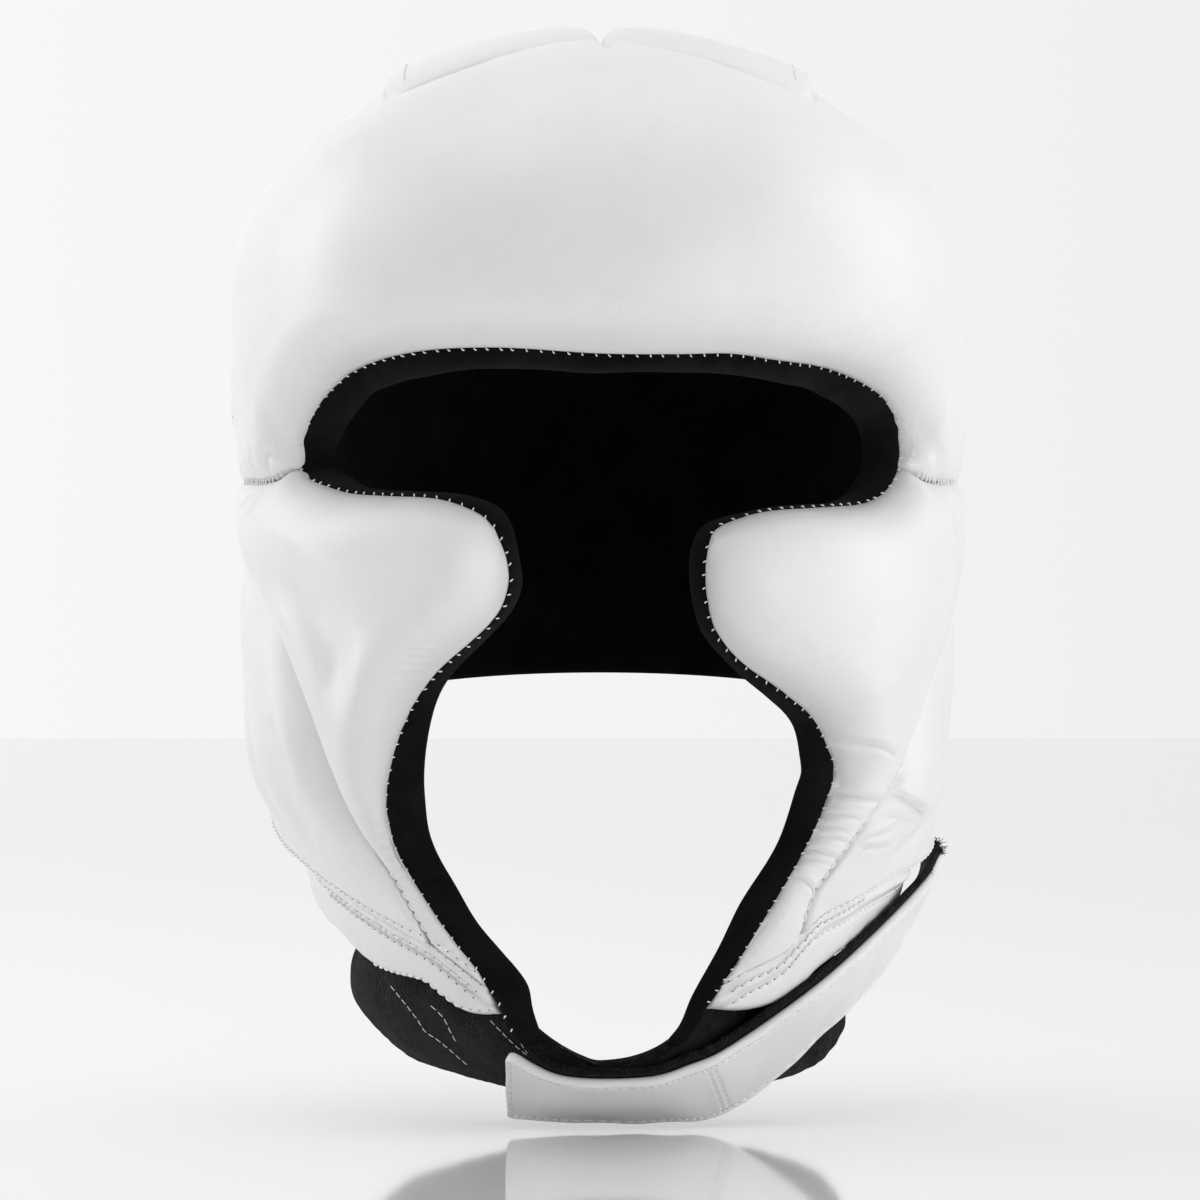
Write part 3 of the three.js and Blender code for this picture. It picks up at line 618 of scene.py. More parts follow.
class Nodes:
    """Short ways to add nodes to one material, or to the world."""

    def __init__(self, owner, space="Object"):
        self.tree = owner.node_tree
        self.place = self.add("ShaderNodeTexCoord").outputs[space]

    def feed(self, socket, value):
        """Links a socket to another node's output, or sets it to a number, a color or a vector."""
        if isinstance(value, bpy.types.NodeSocket):
            self.tree.links.new(value, socket)
        elif socket.type == "RGBA":
            socket.default_value = (*value, 1)
        else:
            socket.default_value = value

    def add(self, kind, inputs=None, **settings):
        node = self.tree.nodes.new(kind)
        for name, value in settings.items():
            setattr(node, name, value)
        for name, value in (inputs or {}).items():
            self.feed(node.inputs[name], value)
        return node

    def noise(self, scale, detail=3.0, roughness=0.5, stretch=None):
        place = self.place
        if stretch is not None:
            stretched = self.add("ShaderNodeMapping", {"Scale": stretch, "Vector": place})
            place = stretched.outputs["Vector"]
        inputs = {"Scale": scale, "Detail": detail, "Roughness": roughness, "Vector": place}
        return self.add("ShaderNodeTexNoise", inputs).outputs["Fac"]

    def cells(self, scale, feature="F1"):
        inputs = {"Scale": scale, "Vector": self.place}
        return self.add("ShaderNodeTexVoronoi", inputs, feature=feature).outputs["Distance"]

    def ramp(self, value, low, high, start=0.0, end=1.0):
        inputs = {"Value": value, "From Min": low, "From Max": high, "To Min": start, "To Max": end}
        return self.add("ShaderNodeMapRange", inputs).outputs["Result"]

    def math(self, operation, a, b):
        return self.add("ShaderNodeMath", {0: a, 1: b}, operation=operation).outputs["Value"]

    def blend(self, factor, a, b):
        node = self.add("ShaderNodeMix", {"Factor": factor}, data_type="RGBA")
        for name, value in (("A", a), ("B", b)):
            self.feed(next(s for s in node.inputs if s.name == name and s.type == "RGBA"), value)
        return next(s for s in node.outputs if s.type == "RGBA")

    def bump(self, height, distance, strength=1.0, normal=None):
        inputs = {"Distance": distance, "Strength": strength, "Height": height}
        if normal is not None:
            inputs["Normal"] = normal
        return self.add("ShaderNodeBump", inputs).outputs["Normal"]

    def finish(self, color, normal, **more):
        """Leads the made values into the material's shader."""
        shader = self.tree.nodes["Principled BSDF"]
        for name, source in {"Base Color": color, "Normal": normal, **more}.items():
            self.feed(shader.inputs[name], source)


def leather_material():
    made = material("white_leather", (0.84, 0.84, 0.835), 0.42, **{
        "IOR": 1.46, "Specular IOR Level": 0.45, "Coat Weight": 0.08, "Coat Roughness": 0.3,
        "Subsurface Weight": 0.04, "Subsurface Scale": 0.002,
    })
    n = Nodes(made)
    cloud = n.noise(18, 4, 0.55)
    grime = n.ramp(n.noise(60, 6, 0.62), 0.56, 0.78)
    edge = n.add("ShaderNodeNewGeometry").outputs["Pointiness"]
    # Painted shade: the hollows that the pointiness finds, in creases and seams, stand in for the
    # shade that falls there; they are also made rougher.
    hollow = n.ramp(edge, 0.492, 0.455)
    # Painted highlight: convex edges are made lighter, standing in for the light they catch.
    edge_highlight = n.ramp(edge, 0.53, 0.58)
    color = n.blend(n.ramp(cloud, 0.35, 0.7), (0.86, 0.86, 0.856), (0.82, 0.82, 0.816))
    color = n.blend(n.math("MULTIPLY", grime, 0.12), color, (0.62, 0.62, 0.61))
    # Painted shade: the colour darkens in the hollows.
    color = n.blend(n.math("MULTIPLY", hollow, 0.35), color, (0.55, 0.55, 0.545))
    # Painted highlight: the colour lightens on the convex edges.
    color = n.blend(n.math("MULTIPLY", edge_highlight, 0.4), color, grey(0.9))
    rough = n.math("ADD", n.ramp(cloud, 0.3, 0.75, 0.36, 0.47), n.math("MULTIPLY", hollow, 0.12))
    grain = n.math("ADD", n.math("MULTIPLY", n.cells(1500, "SMOOTH_F1"), 0.7), n.noise(900, 2))
    wrinkle = n.noise(140, 5, 0.6, (1, 1, 0.45))
    normal = n.bump(grain, 0.00009, 0.55)
    n.finish(color, n.bump(wrinkle, 0.0005, 0.16, normal), Roughness=rough)
    return made


def suede_material():
    made = material("black_suede", grey(0.008), 0.97, **{
        "Specular IOR Level": 0.04, "Sheen Weight": 0.03, "Sheen Roughness": 0.5,
    })
    n = Nodes(made)
    nap = n.noise(70, 5, 0.6)
    fleck = n.noise(2400, 3, 0.7)
    color = n.blend(n.ramp(nap, 0.35, 0.7), grey(0.004), grey(0.01))
    color = n.blend(n.ramp(fleck, 0.62, 0.8, 0, 0.6), color, grey(0.03))
    n.finish(color, n.bump(fleck, 0.00035, 0.8, n.bump(nap, 0.001, 0.3)))
    return made


def pile_material():
    made = material("black_pile", grey(0.01), 1.0, **{
        "Specular IOR Level": 0.05, "Sheen Weight": 0.08, "Sheen Roughness": 0.6,
    })
    n = Nodes(made)
    loops = n.cells(1900)
    tufts = n.noise(420, 4, 0.7)
    cloud = n.noise(120, 5, 0.66)
    color = n.blend(n.ramp(cloud, 0.4, 0.66), grey(0.003), grey(0.01))
    color = n.blend(n.ramp(tufts, 0.52, 0.74, 0, 0.6), color, (0.032, 0.032, 0.033))
    color = n.blend(n.ramp(loops, 0.45, 0.1, 0, 0.3), color, (0.04, 0.04, 0.041))
    n.finish(color, n.bump(loops, 0.0003, 0.9, n.bump(tufts, 0.0005, 0.5)))
    return made


def hook_material():
    made = material("black_hook", grey(0.006), 0.7, **{"Specular IOR Level": 0.12})
    n = Nodes(made)
    rows = n.cells(1100)
    n.finish(n.blend(n.ramp(rows, 0.45, 0.1), grey(0.003), grey(0.016)), n.bump(rows, 0.0007, 0.9))
    return made


def thread_material():
    made = material("white_thread", (0.94, 0.94, 0.93), 0.6, **{"Sheen Weight": 0.2})
    n = Nodes(made)
    strands = n.noise(2600, 2, 0.6, (1, 1, 2.2))
    color = n.blend(n.ramp(strands, 0.35, 0.65), (0.84, 0.84, 0.83), (0.97, 0.97, 0.96))
    n.finish(color, n.bump(strands, 0.0002, 0.7))
    return made


LEATHER = leather_material()
SUEDE = suede_material()
PILE = pile_material()
HOOKS = hook_material()
THREAD = thread_material()


def keep(obj, *nodes, pad=None):
    """Puts a finished piece on the object, standing for the CAD nodes named."""
    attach(obj, "root")
    if nodes:
        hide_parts(*nodes)
    return obj


def slab_piece(name, outer, inner, made_of, *nodes, pad=None):
    """Keeps the closed piece between two matching grids of points."""
    points, faces = closed_slab(outer, inner)
    return keep(new_object(name, points, faces, made_of), *nodes, pad=pad)


SHEET_FULL = 0.4  # the least share of its flat rectangle that a sheet may fill


def stretched_sheet(obj, middle, *rests_on):
    """Prints the size of the sheet that a piece is cut from, measured on the grid of its middle
    surface.
    """
    rows = np.linalg.norm(np.diff(middle, axis=1), axis=2).sum(axis=1)
    columns = np.linalg.norm(np.diff(middle, axis=0), axis=2).sum(axis=0)
    a, b = middle[1:, 1:] - middle[:-1, :-1], middle[1:, :-1] - middle[:-1, 1:]
    area = np.linalg.norm(np.cross(a, b), axis=2).sum() / 2
    length = columns.max()
    width = min(rows.max(), area / (SHEET_FULL * length))
    area = min(area, width * length)
    print(f"sheet {obj.name}: {width:.0f} by {length:.0f} mm, {area / 100:.0f} square cm")


# ---- leather pads

def edge_rolls(pad, radii):
    """Each edge's roll. A pair of radii goes from the pad's upper half to its lower half."""
    drop = np.zeros_like(pad.u)
    for edge, radius in radii.items():
        upper, lower = radius if isinstance(radius, tuple) else (radius, radius)
        drop += rolled(pad.away[edge], mix(upper, lower, smooth(pad.v, 0.35, 0.6)))
    return drop


def gathers(pad, edge, pitch, depth, reach, seed):
    """Gathers running in from a sewn edge, fading over their reach."""
    fade = np.exp(-pad.away[edge] / reach) * smooth(pad.away[edge], 0.2, 2.5)
    return -depth * ripples(pad.along[edge], pitch, seed) * fade


def dimples(pad, edge, depth=0.3, pitch=3.3):
    """The small pull of each stitch on a sewn edge."""
    pull = 0.5 + 0.5 * np.cos(2 * math.pi * pad.along[edge] / pitch)
    return -depth * pull * bell(pad.away[edge] - 1.0, 1.6)


def smooth_line(marks, count=60):
    """Both coordinates along a smooth line through marks."""
    marks = np.array(marks, float)
    at = np.linspace(0, 1, len(marks))
    return [through(at, marks[:, k], np.linspace(0, 1, count)) for k in (0, 1)]


def folds(pad, rows, shoulder=0.35):
    """Creases pressed into a pad. Rows are (depth, width, (turn, height), (turn, height), ...)."""
    relief = np.zeros_like(pad.u)
    for depth, width, *marks in rows:
        turn, height = smooth_line(marks)
        line = form(turn, fall_at(height), MEASURED_AT)
        away, along = nearest_on(pad.base, line)
        share = along / run_length(line)[-1]
        fade = np.sqrt(np.clip(4 * share * (1 - share), 0, 1))
        relief -= depth * fade * bell(away, width)
        relief += shoulder * depth * fade * bell(away - 2.1 * width, 1.1 * width)
    return relief


def leather_pad(node, region, spec, radii, relief, shape=None, extra=None, fill=0.8, **grid):
    """One pad of leather: its thicknesses, shaped and rolled at its edges, and its relief."""
    pad = Pad(region, **grid)
    bulge = 0 if extra is None else extra(pad)
    thick = pad_offset(spec, pad.u, pad.v, bulge)
    if shape is not None:
        thick = shape(pad, thick)
    thick = thick - edge_rolls(pad, radii) + relief(pad)
    outer = pad.surface(np.maximum(thick, PAD_INNER + 1.0))
    inner = pad.surface(np.full_like(thick, PAD_INNER - 0.2))
    slab_piece(f"leather_{node}", outer, inner, LEATHER, node, pad=fill)


def forehead_shape(pad, thick):
    return swollen(pad, thick, {"bottom": face_swell(pad)})


def cheek_shape(pad, thick):
    """The cheek is drawn down along its crease, so that its lower band stays slim."""
    held = at_cheek_back(pad.v) + 5 * (1 - np.exp(-pad.away["back"] / 14))
    thick = np.minimum(thick, held)
    return swollen(pad, thick, {"top": face_swell(pad), "front": 13, "bottom": 10})


def panel_shape(pad, thick, side):
    """The side panel thins gently down to the hem."""
    low = side.panel["bottom"](pad.u)
    return low + (thick - low) * smooth(pad.away["bottom"], -6, 22)


def temple_gathers(pad, edge, seed):
    """Tight gathers across the seam at the eye's corner."""
    near = smooth(np.abs(pad.turn), 53, 56) * (1 - smooth(np.abs(pad.turn), 66, 80))
    return near * gathers(pad, edge, 3.6, 1.3, 4.5, seed)


def uneven(pad, seed, height, size, reach, rows):
    """A pad's uneven swelling, with gathers. Rows are (edge, pitch, depth, reach)."""
    relief = height * lumps(pad.base, size, seed) * smooth(pad.nearest(), 4, reach)
    for k, (edge, *gather) in enumerate(rows):
        relief += gathers(pad, edge, *gather, seed + 1 + k)
    return relief


def forehead_relief(pad):
    relief = uneven(pad, 11, 0.45, 46, 22, [
        ("bottom", 11, 0.4, 6), ("top", 10, 0.7, 8), ("front", 9, 0.6, 8), ("back", 9, 0.6, 8),
    ])
    relief += dimples(pad, "bottom") + temple_gathers(pad, "bottom", 16)
    relief += 2.0 * bell(pad.turn + 13, 10) * np.exp(-pad.away["top"] / 9)
    return relief + folds(pad, FOREHEAD_FOLDS)


def cheek_relief(pad, side, seed):
    made = uneven(pad, seed, 0.5, 34, 18, [
        ("top", 9, 0.35, 5), ("front", 9, 0.35, 5), ("back", 12, 0.3, 5),
    ])
    made += dimples(pad, "top") + dimples(pad, "front") + temple_gathers(pad, "top", seed + 4)
    depth, centre = side.hollow
    hollow = depth * bell(pad.away["back"] - centre, 9) * smooth(pad.v, 0.05, 0.3)
    made -= hollow * (1 - smooth(pad.v, 0.75, 0.95)) * smooth(pad.away["front"], 6, 22)
    return made + folds(pad, side.cheek_folds)


def side_relief(pad, side, seed):
    made = uneven(pad, seed, 0.5, 36, 18, [
        ("bottom", 8, 0.3, 5), ("top", 8, 0.6, 6), ("back", 10, 0.6, 7),
    ])
    valley = bell(pad.away["front"], 11) * smooth(pad.v, 0.12, 0.45)
    made -= side.valley * valley * smooth(pad.away["bottom"], 4, 26)
    return made + folds(pad, side.panel_folds)


def crown_relief(pad, seed):
    made = uneven(pad, seed, 0.6, 32, 18, [
        ("bottom", 10, 0.8, 9), ("top", 9, 0.7, 8), ("front", 6, 0.9, 9),
    ])
    return made - 1.2 * bell(np.abs(pad.base[..., 0]) - CROWN_LOBE - 3.5, 1.2)


def back_relief(pad):
    return uneven(pad, 61, 0.6, 40, 20, [(edge, 10, 0.7, 8) for edge in EDGES])


# The ridge that runs below the hem: height, distance from the hem, width; and the sewn channels
# on both sides of it, by their distance from the hem.
RIGHT.ridge = (0.35, 2.1, 1.0, (0.2, 4.2))
LEFT.ridge = (1.5, 3.3, 1.5, (0.2, 6.3))


def flap_relief(pad, side, seed):
    """Sewn channels along the hem, with a padded ridge between them."""
    ridge, at, wide, channels = side.ridge
    away = pad.away["top"]
    front = 1 - smooth(np.abs(pad.turn), 78, 96)
    made = ridge * front * bell(away - at, wide)
    for channel in channels:
        made -= 0.7 * front * bell(away - channel, 0.7)
    made += 0.22 * lumps(pad.base, 6, seed) * bell(away - at, 2.4)
    return made + gathers(pad, "bottom", 9, 0.4, 5, seed + 1)


def flap_swell(pad, side):
    """The flap thickens towards the back of the jaw."""
    return side.flap_swell * smooth(np.abs(pad.turn), 54, 84)


def brow_bulge(pad):
    frontness = np.maximum(np.cos(np.radians(pad.turn)), 0) ** 2
    return BROW_BULGE * frontness + strap_dent(pad.turn, pad.fall)


FOREHEAD_FOLDS = [
    (2.2, 1.8, (1.8, -6.5), (1.8, -9), (1.6, -13)),
    (0.6, 0.8, (2.8, -8), (2.5, -16), (2.0, -26)),
    (0.6, 0.8, (0.6, -8), (0.4, -14), (0.2, -23)),
    (0.5, 0.9, (4.6, -9), (4.0, -16), (3.4, -24)),
    (0.5, 0.9, (-1.6, -8), (-1.2, -14), (-0.8, -21)),
    (1.1, 1.5, (55.5, -102), (58.5, -106.5), (60.5, -110), (61.5, -112.5)),
    (1.1, 1.1, (-56, -104.5), (-58.5, -108.5), (-60, -112)),
    (0.8, 0.9, (-60.5, -103), (-62, -108), (-63, -112)),
    (0.6, 0.9, (-65, -105), (-66, -109), (-66.5, -112)),
]
RIGHT.cheek_folds = [
    (0.7, 0.6, (-18, -155.6), (-21, -156.6), (-24.5, -156.4)),
    (0.8, 0.6, (-19.3, -157.4), (-22.4, -158.3), (-25.7, -158.2)),
    (0.8, 0.6, (-20.6, -159.2), (-23.6, -160.1), (-27, -159.8)),
    (0.6, 0.6, (-22, -161), (-24.8, -162), (-27.6, -161.8)),
    (0.5, 0.6, (-23.6, -163.2), (-26.4, -164.4), (-29, -164.6)),
    (0.9, 1.0, (-58, -115), (-59.5, -119), (-62, -123)),
    (0.8, 0.9, (-62, -115), (-64.5, -118.5), (-68, -121)),
]
LEFT.cheek_folds = [
    (1.35, 0.9, (31.4, -179.2), (36, -181.3), (42, -183.1), (49, -186)),
    (0.75, 0.7, (32, -180.6), (37.1, -182.6), (42.6, -184.6)),
    (0.75, 0.7, (34.9, -188.8), (37.5, -189), (39.8, -189.8)),
    (1.5, 0.9, (35.9, -193.6), (38.6, -194.9), (42.4, -197.1), (47.2, -197.9)),
    (0.9, 0.6, (34.7, -200), (38.8, -201.2), (43.2, -203)),
    (0.9, 0.6, (33.9, -203.1), (37.6, -204.5), (41.5, -206.3)),
    (0.9, 0.6, (33.4, -205.9), (37.4, -207.3), (41.3, -208.7)),
    (1.35, 0.7, (32.2, -209), (35.2, -210.7), (39.3, -213)),
    (0.9, 0.6, (32, -211.8), (35, -213.1), (38.5, -214.5)),
    (1.05, 0.7, (30.9, -216.1), (33, -218.6), (35.2, -221.6)),
    (1.5, 3.4, (61, -115), (64, -121), (67, -129)),
]
LEFT.panel_folds = [
    (1.5, 0.9, (50.6, -196), (54, -197.4), (59, -200.5), (64, -203)),
    (1.05, 0.9, (50.6, -195), (53, -193.6), (56, -191)),
    (1.35, 0.8, (42, -209.7), (46.3, -210.5), (52.8, -209.7)),
    (1.05, 0.8, (42, -208.3), (47, -207.6), (53.5, -205)),
    (0.75, 0.9, (45.5, -203.2), (50.3, -202.3), (57, -204)),
    (1.2, 3.0, (56, -214), (68, -208), (80, -198)),
]
RIGHT.panel_folds = [
    (0.9, 3.2, (-60, -176), (-56, -194), (-50, -210)),
    (0.7, 3.0, (-72, -172), (-68, -190), (-60, -206)),
]
# The cheek's hollow: depth, and distance in from the crease; the depth of the panel's valley.
RIGHT.hollow, RIGHT.valley = (5.0, 21), 5.0
LEFT.hollow, LEFT.valley = (0.8, 16), 1.6


def crown_sink(pad):
    """The crown is lower on either side of its two middle lobes."""
    return -CROWN_SINK * smooth(np.abs(pad.base[..., 0]), CROWN_LOBE, CROWN_LOBE + 6)


def add_pads():
    seam = 4.2  # radius to which a pad rounds over into a seam
    leather_pad(
        "forehead_pad", forehead_region(), FOREHEAD, {"top": seam, "front": seam, "back": seam},
        forehead_relief, forehead_shape, brow_bulge, fine=0.5, band=5,
    )
    leather_pad(
        "back_pad", back_region(), BACK, {"top": seam, "bottom": 3.0, "front": seam, "back": seam},
        back_relief, extra=lambda pad: strap_dent(pad.turn, pad.fall), coarse=1.7,
    )
    for side, seed in ((RIGHT, 20), (LEFT, 40)):
        leather_pad(
            f"cheek_pad_{side.name}", cheek_region(side), CHEEK, {"back": (2.6, 1.2)},
            lambda pad: cheek_relief(pad, side, seed), cheek_shape, coarse=0.7, fine=0.4, band=5,
        )
        leather_pad(
            f"side_panel_{side.name}", side_region(side), side.panel,
            {"top": 3.8, "bottom": 0.6, "front": (3.0, 1.4), "back": seam},
            lambda pad: side_relief(pad, side, seed + 5),
            lambda pad, thick: panel_shape(pad, thick, side), coarse=1.0,
        )
        leather_pad(
            f"jaw_flap_{side.name}", flap_region(side), side.flap,
            {"top": 0.6, "bottom": 1.8, "front": 1.4, "back": 1.4},
            lambda pad: flap_relief(pad, side, seed + 10),
            extra=lambda pad: flap_swell(pad, side), fill=0.6, coarse=0.9, fine=0.5,
        )
        leather_pad(
            f"crown_pad_{side.name}", crown_region(side), CROWN,
            {"top": 4.5, "bottom": seam, "front": seam, "back": seam},
            lambda pad: crown_relief(pad, seed + 13), extra=crown_sink, coarse=1.6,
        )


# ---- tubes

def ring(centre, radius, one, other, sides):
    """A tube's points round a centre, in the plane of two directions."""
    angles = (2 * math.pi * k / sides for k in range(sides))
    return [centre + radius * (math.cos(a) * one + math.sin(a) * other) for a in angles]


def skin(faces, first, rings, sides):
    """Adds the faces round a tube's rings of points and over its two ends."""
    for start in range(first, first + (rings - 1) * sides, sides):
        for k in range(sides):
            a, b = start + k, start + (k + 1) % sides
            faces.append((a, b, b + sides, a + sides))
    last = first + (rings - 1) * sides
    faces.append(tuple(first + k for k in range(sides - 1, -1, -1)))
    faces.append(tuple(last + k for k in range(sides)))


# ---- linings and the face roll

def lining(node, region, seed, backed):
    """The suede inside a pad: a sheet drawn down at its sewn edges."""
    pad = Pad(region, gap=0.1, coarse=3.2, fine=1.4, band=5)
    away = pad.nearest()
    pulled = 0.9 * bell(away, 2.2) + 0.18 * lumps(pad.base, 18, seed) * smooth(away, 2, 8)
    outer, inner = pad.surface(LINING + 0.6 - 0.1 * pulled), pad.surface(0.25 + pulled)
    obj = slab_piece(f"suede_{node}", outer, inner, SUEDE, node)
    stretched_sheet(obj, pad.surface(1.5), backed)


def add_linings():
    lining("forehead_lining", forehead_region(), 71, "forehead_pad")
    lining("back_lining", back_region(), 72, "back_pad")
    for side, seed in ((RIGHT, 73), (LEFT, 77)):
        name = side.name
        lining(f"cheek_lining_{name}", cheek_region(side), seed, f"cheek_pad_{name}")
        lining(f"side_lining_{name}", side_region(side), seed + 1, f"side_panel_{name}")
        lining(f"crown_lining_{name}", crown_region(side), seed + 2, f"crown_pad_{name}")


def face_outline():
    def down(side):
        return [*side.brow, *side.eye_slot[1:], *side.free_edge[1:]]
    return Outline(across(down(RIGHT), down(LEFT)))


def step_out(curve, t, step, short=0.006):
    """The turn and fall a step, in millimetres, into the opening from the outline at t."""
    turn, fall, _ = curve(t)
    before, after = curve(np.clip(t - short, 0, 1)), curve(np.clip(t + short, 0, 1))
    turn_run = (after[0] - before[0]) * TURN_LENGTH
    fall_run = (after[1] - before[1]) * FALL_STEP
    length = np.hypot(turn_run, fall_run)
    turn = turn - step * fall_run / length / TURN_LENGTH
    return turn, fall + step * turn_run / length / FALL_STEP


# The roll's section, from the leather's edge over to the inside: share of the reach, and height.
ROLL_SECTION = [
    (0, 1), (0.18, 0.985), (0.36, 0.93), (0.54, 0.83), (0.70, 0.69),
    (0.83, 0.53), (0.92, 0.36), (0.98, 0.20), (1, 0.08), (0.97, -0.03),
]
ROLL_UNDER = 0.5  # how far the roll starts behind the leather's edge


def face_roll():
    """The lining turned out round the face opening: a soft rounded wedge with small gathers."""
    curve = face_outline()
    count = int(curve.total / 1.0)
    t = np.linspace(0.002, 0.998, count)
    turn, fall, reach = curve(t)
    place = form(turn, fall, 6)
    along = run_length(place)
    reach = reach + 0.2 * lumps(place, 16, 81) + 0.2
    rise = (lip(turn) - 1.0) * (1 - 0.05 * ripples(along, 7, 82))
    rings = []
    for out, height in ROLL_SECTION:
        place = step_out(curve, t, (reach + ROLL_UNDER) * out - ROLL_UNDER, 0.006 + 0.008 * out)
        rings.append(form(*place, 0.5 + rise * height))
    rings.append(form(*step_out(curve, t, -ROLL_UNDER), 0.15))
    grid = np.stack(rings, axis=1)
    faces = []
    skin(faces, 0, count, grid.shape[1])
    keep(new_object("suede_face_roll", grid.reshape(-1, 3), faces, SUEDE), "face_roll", pad=0.7)


# ---- stitches

# A stitch's rings: share of its length, and rise and width in radii.
CAPSULE = (
    (0, -1.2, 0.55), (0.12, -0.1, 0.9), (0.5, 0.35, 1.05), (0.88, -0.1, 0.9), (1, -1.2, 0.55),
)


def capsule(start, end, lift, radius, points, faces, sides=6):
    """One stitch as a short bowed thread whose ends turn down into the leather."""
    axis = end - start
    length = np.linalg.norm(axis)
    axis = axis / length
    side = np.cross(axis, lift)
    side /= np.linalg.norm(side)
    up = np.cross(side, axis)
    first = len(points)
    for share, rise, width in CAPSULE:
        centre = start + axis * length * share + up * radius * rise
        points += ring(centre, radius * width, side, up, sides)
    skin(faces, first, len(CAPSULE), sides)


def merged(parts):
    """Several pairs of points and faces as one."""
    points, faces = [], []
    for more_points, more_faces in parts:
        start = len(points)
        points += more_points
        faces += [tuple(start + k for k in face) for face in more_faces]
    return points, faces


def tree_of(*names):
    """A search tree over pieces, in millimetres."""
    meshes = [bpy.data.objects[name].data for name in names]
    return BVHTree.FromPolygons(*merged(
        ([vertex.co / MM for vertex in mesh.vertices], [face.vertices for face in mesh.polygons])
        for mesh in meshes
    ))


# The needle holes are dark plugs: painted shade for the shade inside each hole.
HOLE_SHADES = ([], [])  # points and faces of the holes that the needle leaves between stitches


def pierce(place, up, radius=0.21, sides=8):
    """Adds a needle hole as a flat-topped dark plug sunk into the surface; its dark colour is
    painted shade, standing for the shade inside the hole.
    """
    points, faces = HOLE_SHADES
    up = unit(up)
    across = unit(np.cross(up, (0.3, 0.5, 0.8)))
    over = np.cross(up, across)
    first = len(points)
    for depth, share in ((-0.5, 0.5), (0.03, 1.0)):
        points += ring(place + depth * up, radius * share, across, over, sides)
    skin(faces, first, 2, sides)


RAY_START = 14  # how far out from its line a row looks for the pieces


def row_on(tree, line, outward, pitch, radius, lift=0.1, reach=40, holes=True, slant=0.0):
    """A row of stitches where a line, seen from outside, falls on the pieces of a tree."""
    random = np.random.default_rng(87)
    points, faces = [], []
    along = run_length(line)
    count = int(along[-1] / pitch)
    pitch = along[-1] / count

    def on_surface(at):
        place = np.array([np.interp(at, along, line[:, axis]) for axis in range(3)])
        away = unit(np.array([np.interp(at, along, outward[:, axis]) for axis in range(3)]))
        hit, normal, _, _ = tree.ray_cast(Vector(place + away * RAY_START), Vector(-away), reach)
        if hit is None:
            return None
        if normal.dot(Vector(away)) < 0:
            normal = -normal
        return np.array(hit), np.array(normal)

    for k in range(count):
        ends = [on_surface(at) for at in ((k + 0.1) * pitch, (k + 0.9) * pitch)]
        if None in ends:
            continue
        (start, up), (end, _) = ends
        if np.linalg.norm(end - start) > 1.5 * pitch:
            continue
        turn = slant * random.uniform(0.4, 1.6) * unit(np.cross(up, end - start))
        capsule(start + lift * up - turn, end + lift * up + turn, up, radius, points, faces)
        hole = on_surface((k + 1) * pitch) if holes else None
        if hole is not None:
            pierce(*hole)
    return points, faces


def join_rows(name, rows, made_of):
    keep(new_object(name, *merged(rows), made_of))


def form_row(curve, shift, places, start, end, offset=MEASURED_AT):
    """A line at a step from an outline, with the way out of the head form at each point."""
    t = np.linspace(start, end, places)
    turn, fall = step_out(curve, t, shift)
    line = form(turn, fall, offset)
    return line, form(turn, fall, offset + 5) - line


def face_stitches():
    """Short stitches over the leather's edge, one end in the leather and the other in the suede."""
    curve = face_outline()
    fine = np.linspace(0.008, 0.98, 1600)
    turn, fall, _ = curve(fine)
    along = run_length(form(turn, fall, 9))
    count = int(along[-1] / 3.6)
    random = np.random.default_rng(85)
    places = (np.arange(count) + 0.5 + random.uniform(-0.12, 0.12, count)) * along[-1] / count
    t = np.interp(places, along, fine)
    turn, fall, reach = curve(t)
    low = lip(turn)
    step = np.minimum(0.65, 0.35 + 0.4 * reach)
    edge = form(turn, fall, low)
    top = form(turn, fall, low + 0.5)
    foot = form(*step_out(curve, t, step), low - 0.55)
    into = unit(foot - form(turn, fall, low - 0.55))
    out = unit(top - edge)
    ahead = unit(form(*curve(t + 0.0004)[:2], low) - edge)
    points, faces = [], []
    for k in range(count):
        slant = random.uniform(0.1, 0.35) * ahead[k]
        start = top[k] + 0.2 * into[k] - slant
        capsule(start, foot[k] + 0.12 * out[k] + slant, out[k] + into[k], 0.2, points, faces)
    join_rows("thread_face", [(points, faces)], THREAD)


# How each row is sewn. Slant is how far a stitch turns out of its row, to one side.
HEM_THREAD = {"pitch": 2.9, "radius": 0.4, "lift": 0.24, "slant": 0.16}
FLAP_THREAD = {"pitch": 2.9, "radius": 0.34, "lift": 0.16, "slant": 0.12}
CREASE_THREAD = {"pitch": 3.2, "radius": 0.32, "lift": 0.18, "slant": 0.2}
CROWN_THREAD = {"pitch": 3.2, "radius": 0.24}
SLING_THREAD = {"pitch": 2.2, "radius": 0.13, "lift": 0.03, "reach": 120, "holes": False}
REAR_THREAD = {"pitch": 3.1, "radius": 0.26, "lift": 0.08}

# Rows along the hem: steps down from it, and the share of its length where each starts.
RIGHT.hem_rows = ((-1.7, 0.02), (0.5, 0.02), (2.8, 0.55), (5.0, 0.6))
LEFT.hem_rows = ((-0.5, 0.02), (2.6, 0.66), (6.2, 0.42))
# The other rows: their steps from the flap's lower edge and the crease, and where each starts.
FLAP_STEP, FLAP_START = 1.3, 0.72
CREASE_STEP = 0.7
RIGHT.crease_start, LEFT.crease_start = 0.86, 0.62


